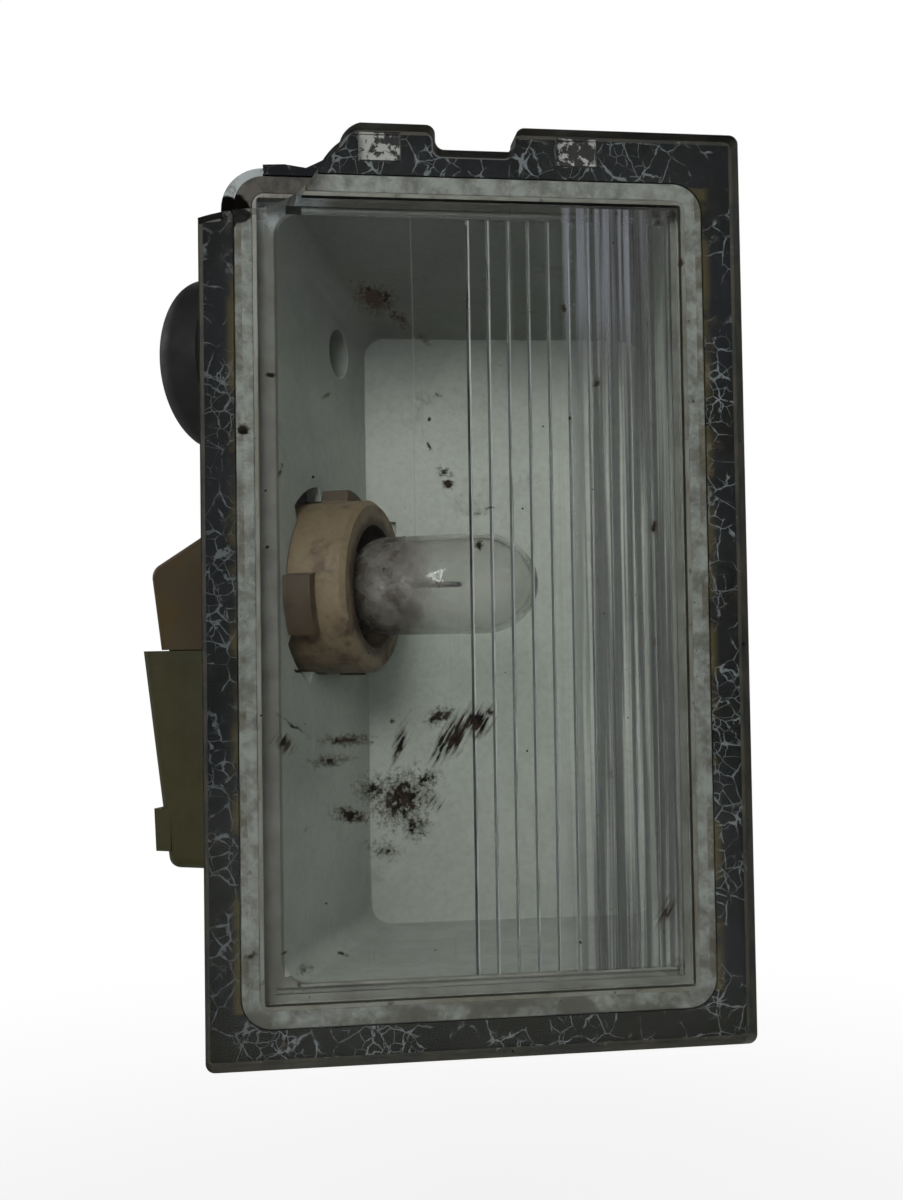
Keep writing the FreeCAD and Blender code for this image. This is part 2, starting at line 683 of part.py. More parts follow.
def holder_body():
    """The part of the holder outside the lamp: a block with a sloped shoulder."""
    z0 = holder_flange_z() + HOLDER_FLANGE_T
    x = -BODY_W / 2
    outline = [
        V(x, BODY_BOTTOM, z0 - 1),
        V(x, BODY_TOP, z0 - 1),
        V(x, BODY_TOP, SHOULDER_FROM),
        V(x, BODY_TOP - SHOULDER_DROP, BODY_OUT),
        V(x, BODY_BOTTOM, BODY_OUT - BODY_LEAN),
    ]
    body = prism(outline, V(BODY_W, 0, 0))
    body = rounded(body, SHOULDER_R, lambda e: runs_along(e, "x") and e.BoundBox.ZMin > BODY_OUT - 0.1)
    return rounded(body, 0.8, lambda e: e.BoundBox.ZMin > z0 and e.BoundBox.XLength < 0.01)


def make_holder():
    z0 = holder_flange_z()
    stem = Part.makeCylinder(COLLAR_R, COLLAR_OUT + z0 + 0.5, V(0, 0, -COLLAR_OUT))
    stem = stem.makeChamfer(0.5, [e for e in stem.Edges if e.BoundBox.ZMax < -COLLAR_OUT + 0.01])
    holder = stem.fuse(Part.makeCylinder(HOLDER_FLANGE_R, HOLDER_FLANGE_T, V(0, 0, z0)))
    for i in range(LUG_COUNT):
        holder = holder.fuse(lug(i, 0, -LUG_PLAY - LUG_T, -LUG_PLAY))
    spigot = block(
        -SPIGOT_W / 2, SPIGOT_W / 2, BODY_BOTTOM - SPIGOT_D, BODY_BOTTOM + 1, SPIGOT_IN, SPIGOT_OUT
    )
    holder = holder.fuse(holder_body()).fuse(spigot)
    cup = Part.makeCylinder(COLLAR_BORE_R, CUP_D + 0.01, V(0, 0, -COLLAR_OUT - 0.01))
    holder = holder.cut(cup)
    relief = PINCH_T / 2 + 2 * WIRE_R + SLOT_GAP
    depth = GLASS_L - GLASS_TIP + 3 * WIRE_R + SLOT_GAP
    wide = PINCH_W / 2 + SLOT_GAP
    holder = holder.cut(block(-wide, wide, -relief, relief, -COLLAR_OUT + CUP_D - 0.01, depth))
    for side in (-1, 1):
        holder = holder.cut(contact_boxes(side, CONTACT_GAP))
    return on_wall(holder.removeSplitter(), HOLDER_DEPTH, HOLDER_Z)


def make_holder_seal():
    ring = tube(HOLDER_FLANGE_R - SEAL_RIM, COLLAR_R + SEAL_RIM, WALL + HOLDER_SEAL_GAP, holder_flange_z())
    return on_wall(ring, HOLDER_DEPTH, HOLDER_Z)


def make_contact(side):
    return on_wall(contact_boxes(side, 0), HOLDER_DEPTH, HOLDER_Z)


# ---- connector shell, hanging from the holder's spigot ----
def shell_levels():
    """The shell's top, the two faces of its partition, and its open end, along local y."""
    top = BODY_BOTTOM - SHELL_GAP
    ceiling = BODY_BOTTOM - SPIGOT_D - SHELL_GAP
    return top, ceiling, ceiling - PARTITION_T, top - SHELL_L


def local_rect(half, z0, z1, y, r):
    """A rounded rectangle across the connector, in the local plane at y."""
    k = r * (1 - math.sqrt(0.5))
    spots = [
        (V(-half + r, y, z0), V(half - r, y, z0), V(half - k, y, z0 + k)),
        (V(half, y, z0 + r), V(half, y, z1 - r), V(half - k, y, z1 - k)),
        (V(half - r, y, z1), V(-half + r, y, z1), V(-half + k, y, z1 - k)),
        (V(-half, y, z1 - r), V(-half, y, z0 + r), V(-half + k, y, z0 + k)),
    ]
    edges = []
    for i, (start, end, middle) in enumerate(spots):
        edges.append(Part.makeLine(start, end))
        edges.append(Part.Arc(end, middle, spots[(i + 1) % 4][0]).toShape())
    return Part.Wire(edges)


def local_column(half, z0, z1, y0, y1, r):
    return Part.Face(local_rect(half, z0, z1, y0, r)).extrude(V(0, y1 - y0, 0))


def socket_box():
    """The plug's space in the shell: half width, near and far face."""
    return SHELL_W / 2 - SHELL_WALL, SHELL_IN + SHELL_WALL, SHELL_OUT - SHELL_TAPER - SHELL_WALL


def make_shell():
    top, ceiling, floor, end = shell_levels()
    half = SHELL_W / 2
    wires = [
        local_rect(half, SHELL_IN, SHELL_OUT, top, SHELL_R),
        local_rect(half, SHELL_IN, SHELL_OUT - SHELL_TAPER, end, SHELL_R),
    ]
    shell = Part.makeLoft(wires, True, True)
    shell = rounded(shell, SHELL_END_R, lambda e: e.BoundBox.YMax < end + 0.01)
    mouth_z = SHELL_OUT - SHELL_TAPER * (1 - (TAB_FROM_END + TAB_L) / SHELL_L)
    tab = [
        V(-TAB_W / 2, end + TAB_FROM_END, mouth_z - 1.5),
        V(-TAB_W / 2, end + TAB_FROM_END, mouth_z + TAB_T * 0.5),
        V(-TAB_W / 2, end + TAB_FROM_END + TAB_L, mouth_z + TAB_T),
        V(-TAB_W / 2, end + TAB_FROM_END + TAB_L, mouth_z - 1.5),
    ]
    shell = shell.fuse(prism(tab, V(TAB_W + (SHELL_W - TAB_W) / 2, 0, 0)))
    pocket = block(
        -SPIGOT_W / 2 - SHELL_GAP, SPIGOT_W / 2 + SHELL_GAP,
        ceiling, top + 1, SPIGOT_IN - SHELL_GAP, SPIGOT_OUT + SHELL_GAP,
    )
    shell = shell.cut(pocket)
    wide, near, far = socket_box()
    shell = shell.cut(local_column(wide, near, far, end - 1, floor, 0.8))
    shell = shell.cut(lock_bar(SHELL_GAP))
    for side in (-1, 1):
        shell = shell.cut(contact_boxes(side, CONTACT_GAP))
    return on_wall(shell.removeSplitter(), HOLDER_DEPTH, HOLDER_Z)


def lock_bar(gap):
    """The wedge pushed in from the outer face to lock the blades, or with gap its slot."""
    _, ceiling, floor, _ = shell_levels()
    middle = (ceiling + floor) / 2
    half_l = LOCK_T / 2 + gap
    wide = LOCK_L + gap
    return block(-wide, wide, middle - half_l, middle + half_l, BLADE_AT + BLADE_T / 2 + 0.3 - gap, SHELL_OUT + 1)


def make_lock():
    top, ceiling, floor, end = shell_levels()
    face = SHELL_OUT - SHELL_TAPER * (top - (ceiling + floor) / 2) / SHELL_L
    bar = lock_bar(0)
    keep = block(-20, 20, -40, 10, 0, face + 0.3)
    return on_wall(bar.common(keep), HOLDER_DEPTH, HOLDER_Z)


def make_socket_seal():
    """A soft ring on the socket's floor, which the plug's face presses."""
    _, _, floor, _ = shell_levels()
    wide, near, far = socket_box()
    g = SHELL_GAP
    y0 = floor - SOCKET_SEAL_T
    outer = local_column(wide - g, near + g, far - g, y0, floor, 0.7)
    w = SOCKET_SEAL_W
    inner = local_column(wide - g - w, near + g + w, far - g - w, y0 - 1, floor + 1, 0.5)
    return on_wall(outer.cut(inner), HOLDER_DEPTH, HOLDER_Z)


# ---- bulb ----
def envelope(shrink):
    """The blown glass about the axis: a neck, a straight barrel and a rounded end."""
    r = GLASS_R - shrink
    tip = -GLASS_TIP + shrink
    barrel = tip + GLASS_DOME - shrink * 0.3
    neck = -PINCH_TOP - 0.6 - shrink * 0.7
    dome = dome_edges(r, barrel, tip - barrel)
    edges = [
        Part.makeLine(V(0, 0, neck), V(r * 0.55, 0, neck)),
        Part.Arc(V(r * 0.55, 0, neck), V(r * 0.9, 0, neck - r * 0.22), V(r, 0, neck - r * 0.6)).toShape(),
        Part.makeLine(V(r, 0, neck - r * 0.6), V(r, 0, barrel)),
        *dome,
        Part.makeLine(dome[1].Vertexes[1].Point, V(0, 0, neck)),
    ]
    return Part.Face(Part.Wire(edges)).revolve(V(0, 0, 0), V(0, 0, 1), 360)


def make_glass():
    pinch = block(-PINCH_W / 2, PINCH_W / 2, -PINCH_T / 2, PINCH_T / 2, -PINCH_TOP - 1.6, GLASS_L - GLASS_TIP)
    pinch = rounded(pinch, 0.4, lambda e: runs_along(e, "z"))
    glass = envelope(0).fuse(pinch).cut(envelope(GLASS_T))
    for side in (-1, 1):
        channel = Part.makeCylinder(WIRE_R, GLASS_L, V(side * WIRE_X, 0, -GLASS_TIP / 2))
        glass = glass.cut(channel)
    return on_wall(glass.removeSplitter(), HOLDER_DEPTH, HOLDER_Z)


def make_wire(side):
    """A lead from the filament through the glass, folded up the wedge's face."""
    x = side * WIRE_X
    end = GLASS_L - GLASS_TIP
    y = side * (PINCH_T / 2 + WIRE_R + WIRE_PLAY)
    turn = end + WIRE_R + WIRE_PLAY
    wire = Part.makeCylinder(WIRE_R, FILAMENT_AT + turn, V(x, 0, -FILAMENT_AT))
    wire = wire.fuse(Part.makeSphere(WIRE_R, V(x, 0, turn)))
    wire = wire.fuse(Part.makeCylinder(WIRE_R, abs(y), V(x, 0, turn), V(0, side, 0)))
    wire = wire.fuse(Part.makeSphere(WIRE_R, V(x, y, turn)))
    wire = wire.fuse(Part.makeCylinder(WIRE_R, WIRE_FOLD, V(x, y, turn), V(0, 0, -1)))
    return on_wall(wire, HOLDER_DEPTH, HOLDER_Z)


def make_filament():
    """The coil as a plain bowed rod between the leads' tips."""
    reach = WIRE_X - WIRE_R - FILAMENT_GAP
    path = Part.Arc(
        V(-reach, 0, -FILAMENT_AT + 0.5),
        V(0, 0, -FILAMENT_AT - FILAMENT_BOW),
        V(reach, 0, -FILAMENT_AT + 0.5),
    ).toShape()
    start = path.tangentAt(path.FirstParameter)
    ring = Part.Wire(Part.makeCircle(FILAMENT_R, V(-reach, 0, -FILAMENT_AT + 0.5), start))
    rod = Part.Wire(path).makePipeShell([ring], True, False)
    return on_wall(rod, HOLDER_DEPTH, HOLDER_Z)


def make_bead():
    """The glass bridge that holds the leads apart inside the bulb."""
    half = WIRE_X + WIRE_R + BEAD_END
    bead = Part.makeCylinder(BEAD_R, 2 * half, V(-half, 0, -BEAD_AT), V(1, 0, 0))
    bead = bead.makeFillet(BEAD_END - 0.1, bead.Edges[0:1] + bead.Edges[2:3])
    for side in (-1, 1):
        bead = bead.cut(Part.makeCylinder(WIRE_R, GLASS_L, V(side * WIRE_X, 0, -GLASS_TIP)))
    return on_wall(bead, HOLDER_DEPTH, HOLDER_Z)


PIECES = {
    "lens": make_lens,
    "seal_gasket": make_seal,
    "bond_bead": make_bond,
    "housing": make_housing,
    "spring_clip": make_clip,
    "clip_pin": make_clip_pin,
    "vent_cap": make_vent_cap,
    "vent_filter": make_vent_filter,
    "bulb_holder": make_holder,
    "holder_seal": make_holder_seal,
    "contact_upper": lambda: make_contact(1),
    "contact_lower": lambda: make_contact(-1),
    "connector_shell": make_shell,
    "terminal_lock": make_lock,
    "socket_seal": make_socket_seal,
    "bulb_glass": make_glass,
    "lead_wire_upper": lambda: make_wire(1),
    "lead_wire_lower": lambda: make_wire(-1),
    "filament": make_filament,
    "filament_bead": make_bead,
}


def main():
    os.makedirs("parts", exist_ok=True)
    for name, make in PIECES.items():
        shape = make()
        solids = shape.Solids
        print(name, "solids", len(solids), "volume", round(shape.Volume, 2), "valid", shape.isValid())
        shape.exportStep(os.path.join("parts", name + ".step"))


main()
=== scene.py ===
"""The looks of a rectangular clear-lens tail lamp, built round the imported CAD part, in metres."""

import json
import math

import bmesh
import bpy
from mathutils import Matrix, Vector

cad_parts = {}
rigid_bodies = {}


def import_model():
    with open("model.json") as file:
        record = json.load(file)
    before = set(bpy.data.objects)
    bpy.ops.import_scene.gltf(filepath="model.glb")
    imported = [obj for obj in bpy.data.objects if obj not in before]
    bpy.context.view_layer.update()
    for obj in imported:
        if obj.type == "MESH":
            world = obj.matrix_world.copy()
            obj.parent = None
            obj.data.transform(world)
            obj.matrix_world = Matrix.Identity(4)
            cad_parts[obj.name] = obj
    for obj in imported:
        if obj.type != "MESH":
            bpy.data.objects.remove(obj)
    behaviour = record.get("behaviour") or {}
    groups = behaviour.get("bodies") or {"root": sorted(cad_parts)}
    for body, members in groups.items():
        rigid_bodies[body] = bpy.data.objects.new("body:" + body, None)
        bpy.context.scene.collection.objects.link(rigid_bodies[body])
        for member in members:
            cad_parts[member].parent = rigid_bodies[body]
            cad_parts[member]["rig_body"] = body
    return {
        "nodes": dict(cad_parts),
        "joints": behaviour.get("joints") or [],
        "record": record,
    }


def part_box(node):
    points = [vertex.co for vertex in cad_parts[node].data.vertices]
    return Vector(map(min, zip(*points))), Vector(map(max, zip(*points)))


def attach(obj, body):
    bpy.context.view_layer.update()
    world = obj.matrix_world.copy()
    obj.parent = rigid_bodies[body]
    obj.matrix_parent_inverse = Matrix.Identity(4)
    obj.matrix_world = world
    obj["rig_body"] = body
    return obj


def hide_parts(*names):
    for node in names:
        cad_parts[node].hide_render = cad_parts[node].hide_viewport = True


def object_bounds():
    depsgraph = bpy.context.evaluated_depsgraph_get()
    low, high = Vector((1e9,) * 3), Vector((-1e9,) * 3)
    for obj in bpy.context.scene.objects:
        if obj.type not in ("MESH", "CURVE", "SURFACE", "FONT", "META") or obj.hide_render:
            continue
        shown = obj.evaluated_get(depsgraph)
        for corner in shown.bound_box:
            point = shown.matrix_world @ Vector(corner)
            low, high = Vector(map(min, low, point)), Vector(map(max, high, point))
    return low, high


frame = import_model()
CAD_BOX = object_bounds()
SCENE = bpy.context.scene
MM = 0.001
AIR = 0.03 * MM


# The holder's axis leans in the X-Y plane. Its local frame starts where it meets the slanted wall:
# local z runs out of the lamp along the axis, and local y is up.
twist = next(j for j in frame["joints"] if j["name"] == "holder_twist")
AXIS_POINT = Vector(twist["pos_m"])
INWARD = Vector(twist["axis"]).normalized()
LOCAL_Y = Vector((0, 0, 1))
LOCAL_X = LOCAL_Y.cross(-INWARD)
ON_AXIS = Matrix((LOCAL_X, LOCAL_Y, -INWARD)).transposed().to_4x4()
ON_AXIS.translation = AXIS_POINT


# ------------------------------------------------------------------ materials
def rgb(r, g, b):
    """A screen colour, 0 to 255, as the linear colour that shaders use."""
    shares = (c / 255 for c in (r, g, b))
    linear = (c / 12.92 if c <= 10 / 255 else ((c + 0.055) / 1.055) ** 2.4 for c in shares)
    return (*linear, 1.0)


class Paint:
    """A material's node tree, with short calls for the nodes."""

    def __init__(self, name):
        self.mat = bpy.data.materials.new(name)
        self.mat.use_nodes = True
        self.tree = self.mat.node_tree
        self.tree.nodes.clear()
        self.pos = self.add("TexCoord", out="Object")
        self.x, self.y, self.z = (self.split(self.pos, i) for i in range(3))

    def add(self, kind, inputs=None, out=0, **props):
        node = self.tree.nodes.new("ShaderNode" + kind)
        for name, value in props.items():
            setattr(node, name, value)
        for key, value in (inputs or {}).items():
            if isinstance(value, bpy.types.NodeSocket):
                self.tree.links.new(value, node.inputs[key])
            else:
                node.inputs[key].default_value = value
        return None if out is None else node.outputs[out]

    def split(self, vector, axis):
        return self.add("SeparateXYZ", {0: vector}, out=axis)

    def math(self, op, a, b=0.0, c=0.0):
        return self.add("Math", {0: a, 1: b, 2: c}, operation=op)

    def times(self, a, b):
        return self.math("MULTIPLY", a, b)

    def scaled(self, a, b, c):
        """a times b, plus c."""
        return self.math("MULTIPLY_ADD", a, b, c)

    def plus(self, a, b):
        return self.math("ADD", a, b)

    def minus(self, a, b):
        return self.math("SUBTRACT", a, b)

    def most(self, a, b):
        return self.math("MAXIMUM", a, b)

    def over(self, a, b):
        return self.math("GREATER_THAN", a, b)

    def under(self, a, b):
        return self.math("LESS_THAN", a, b)

    def size(self, a):
        return self.math("ABSOLUTE", a)

    def vmath(self, op, a, b=(0, 0, 0)):
        return self.add("VectorMath", {0: a, 1: b}, operation=op)

    def noise(self, scale, detail=4.0, rough=0.55, vec=None, out="Fac"):
        inputs = {"Vector": vec or self.pos, "Scale": scale, "Detail": detail, "Roughness": rough}
        return self.add("TexNoise", inputs, out=out)

    def stretched(self, scale, factors, detail=3.0):
        """Noise drawn out along one axis: factors scale x, y and z."""
        vec = self.add("Mapping", {"Vector": self.pos, "Scale": factors})
        return self.noise(scale, detail, vec=vec)

    def step(self, value, low, high, a=0.0, b=1.0):
        """a below low, b above high, smooth between."""
        return self.add(
            "MapRange",
            {"Value": value, "From Min": low, "From Max": high, "To Min": a, "To Max": b},
            interpolation_type="SMOOTHSTEP",
        )

    def mix(self, fac, a, b):
        return self.add("Mix", {0: fac, 6: a, 7: b}, out=2, data_type="RGBA")

    def warp(self, scale, amount, vec=None):
        """The position pushed about by noise, amount metres at most."""
        vec = vec or self.pos
        push = self.vmath("SUBTRACT", self.noise(scale, 3.0, vec=vec, out="Color"), (0.5, 0.5, 0.5))
        push = self.vmath("MULTIPLY", push, (2 * amount,) * 3)
        return self.vmath("ADD", vec, push)

    def flat(self, vec):
        """The position with its depth dropped, for marks that lie on a face seen from in front."""
        return self.vmath("MULTIPLY", vec, (1, 0, 1))

    def flat_xy(self):
        return self.vmath("MULTIPLY", self.pos, (1, 1, 0))

    def specks(self, scale, width, share, vec=None):
        """Round specks of about width metres, in a share of the cells."""
        inputs = {"Vector": vec or self.pos, "Scale": scale}
        node = self.add("TexVoronoi", inputs, out="Distance", feature="F1").node
        near = self.math("DIVIDE", node.outputs["Distance"], scale)
        chosen = self.split(node.outputs["Color"], 0)
        grown = self.times(self.split(node.outputs["Color"], 1), width)
        spot = self.under(near, grown)
        return self.times(spot, self.under(chosen, share))

    def blobs(self, vec, marks, grow=1.0):
        """1 at the middle of each elliptical mark, 0 at its edge and less outside.

        A mark is x, z, half width and half height in millimetres, turn in degrees and strength.
        """
        best = None
        for x, z, rx, rz, turn, strength in marks:
            local = self.add(
                "Mapping",
                {
                    "Vector": vec,
                    "Location": (x * MM, 0, z * MM),
                    "Rotation": (0, math.radians(turn), 0),
                    "Scale": (grow * rx * MM, 1, grow * rz * MM),
                },
                vector_type="TEXTURE",
            )
            length = self.add("VectorMath", {0: local}, out="Value", operation="LENGTH")
            field = self.scaled(length, -strength, strength)
            best = field if best is None else self.most(best, field)
        return best

    def bump(self, height, distance):
        return self.add("Bump", {"Height": height, "Distance": distance, "Strength": 1.0})

    def shader(self, colour, rough, normal=None, **uniform):
        inputs = {"Base Color": colour, "Roughness": rough}
        if normal is not None:
            inputs["Normal"] = normal
        inputs.update({key.replace("_", " "): value for key, value in uniform.items()})
        return self.add("BsdfPrincipled", inputs)

    def done(self, surface):
        self.add("OutputMaterial", {"Surface": surface}, out=None)
        return self.mat


def mixed(paint, fac, a, b):
    return paint.add("MixShader", {0: fac, 1: a, 2: b})


def open_to_lamps(paint, surface, tint):
    """Glass that lets the lamps' light through, tinted."""
    through = paint.add("BsdfTransparent", {"Color": tint})
    return mixed(paint, paint.add("LightPath", out="Is Shadow Ray"), surface, through)


# The flutes on the lens's rear face: the first one's left edge and their pitch.
FLUTES_FROM, FLUTE_PITCH = -0.8 * MM, 2.0 * MM

# Places on the lens, in metres. Its front face lies ahead of FRONT_Y.
FRONT_Y = -5.2 * MM
BORDER_X, BORDER_Z = 24.2 * MM, 41.6 * MM
BRIM_X, BRIM_Z = 26.15 * MM, 44.4 * MM
BRIM_Y, SKIRT_Y = -2.6 * MM, -2.0 * MM
TORN_RISE = 60.0 * MM
PAD_Y, PAD_Z = -1.3 * MM, 41.2 * MM
GROOVE_FRONT_Y, GROOVE_REAR_Y = -2.8 * MM, -2.34 * MM
GROOVES_FROM_X = -1.0 * MM
FLUTED_Z, FLUTED_X = 37.0 * MM, 19.4 * MM
BLUE_X = 12.5 * MM

# Long thin scratches, as x, upper end and lower end in millimetres.
SCRATCHES = ((-6.3, 36.0, -4.0), (3.4, 41.0, 22.0))

# Mud on the lens's front face: broken marks, then marks drawn out in the direction of a wipe.
LACE = [
    (-12.1, 29.4, 0.39, 0.29, 0, 0.6), (-19.9, 20.3, 0.68, 0.29, 5, 1.6),
    (-22.5, 15.0, 0.78, 0.68, 0, 1.5), (-14.7, 18.4, 0.78, 0.24, -40, 1.0),
    (-19.0, 11.2, 0.24, 0.78, 5, 0.9), (-3.9, 18.4, 0.49, 0.39, 40, 0.9),
    (-4.8, 16.2, 0.21, 0.21, 0, 1.2), (-4.8, 13.6, 0.78, 0.24, 55, 1.0),
    (-3.4, 11.1, 1.26, 0.68, 25, 0.9), (-3.1, 9.9, 0.68, 0.58, 0, 1.6),
    (-0.3, 7.0, 0.39, 0.49, 40, 0.9), (0.9, 7.6, 1.36, 0.18, -5, 0.7),
    (-0.1, 4.0, 0.58, 0.58, 0, 1.2), (8.5, 27.1, 0.39, 0.49, 0, 1.4),
    (11.7, 19.8, 0.58, 0.68, -20, 1.0), (20.4, 31.8, 0.49, 0.58, 30, 1.3),
    (17.1, 5.8, 0.49, 0.88, 0, 1.3), (17.1, -5.5, 0.58, 0.88, 0, 0.8),
    (16.9, 25.7, 0.29, 0.29, 0, 0.8), (14.0, 36.5, 0.29, 0.29, 0, 1.2),
    (-17.5, -7.7, 0.58, 0.24, 15, 1.2), (-18.0, -12.9, 2.53, 0.21, 35, 0.9),
    (-8.8, -12.7, 0.39, 0.39, 0, 1.0), (-5.1, -19.5, 0.97, 0.19, -15, 0.7),
    (-17.0, -22.6, 1.56, 0.24, -30, 0.5), (-17.3, -35.5, 0.88, 0.78, 0, 0.8),
    (-17.8, -37.0, 0.78, 0.39, 60, 0.8), (-19.2, -34.0, 0.49, 0.21, -35, 1.0),
    (-13.8, -34.3, 0.58, 0.23, 10, 1.2), (-22.3, -34.1, 0.88, 0.39, -20, 1.1),
    (-22.5, -26.4, 0.58, 0.29, 0, 0.8), (12.3, -18.3, 1.17, 0.97, 20, 0.5),
    (-8.0, -20.0, 4.0, 3.3, -35, 1.1), (-10.5, -19.1, 2.6, 2.0, 0, 0.9),
    (-5.7, -18.3, 2.2, 1.3, -30, 0.9), (-6.7, -22.5, 1.9, 2.0, 0, 0.95),
    (-9.6, -24.8, 2.4, 1.2, 20, 0.8), (-12.9, -21.4, 2.4, 1.0, 8, 1.1),
    (-13.3, -14.3, 3.4, 0.8, 2, 1.0), (-14.7, -16.2, 3.0, 0.8, -4, 0.9),
    (-4.2, -12.2, 1.9, 1.1, -15, 1.1), (-9.9, 27.8, 2.5, 1.6, 25, 1.25),
    (-7.5, 25.9, 2.2, 0.8, 45, 0.95), (-5.1, 23.8, 1.2, 0.5, 40, 0.8),
    (19.1, -37.0, 0.88, 0.68, 0, 0.45),
]
STREAKS = [
    (-2.8, -14.1, 1.36, 3.31, 28, 1.0), (-0.8, -12.9, 1.94, 1.94, 30, 1.0),
    (-4.2, -15.0, 0.97, 2.53, 20, 0.8), (-8.1, -14.9, 0.78, 2.92, 15, 0.8),
    (0.6, -12.0, 0.88, 0.78, 40, 0.9), (17.6, -31.6, 0.97, 2.53, 30, 0.6),
    (-18.9, -14.6, 1.36, 1.17, 35, 0.8), (-5.3, -20.2, 2.33, 0.97, 20, 0.5),
]


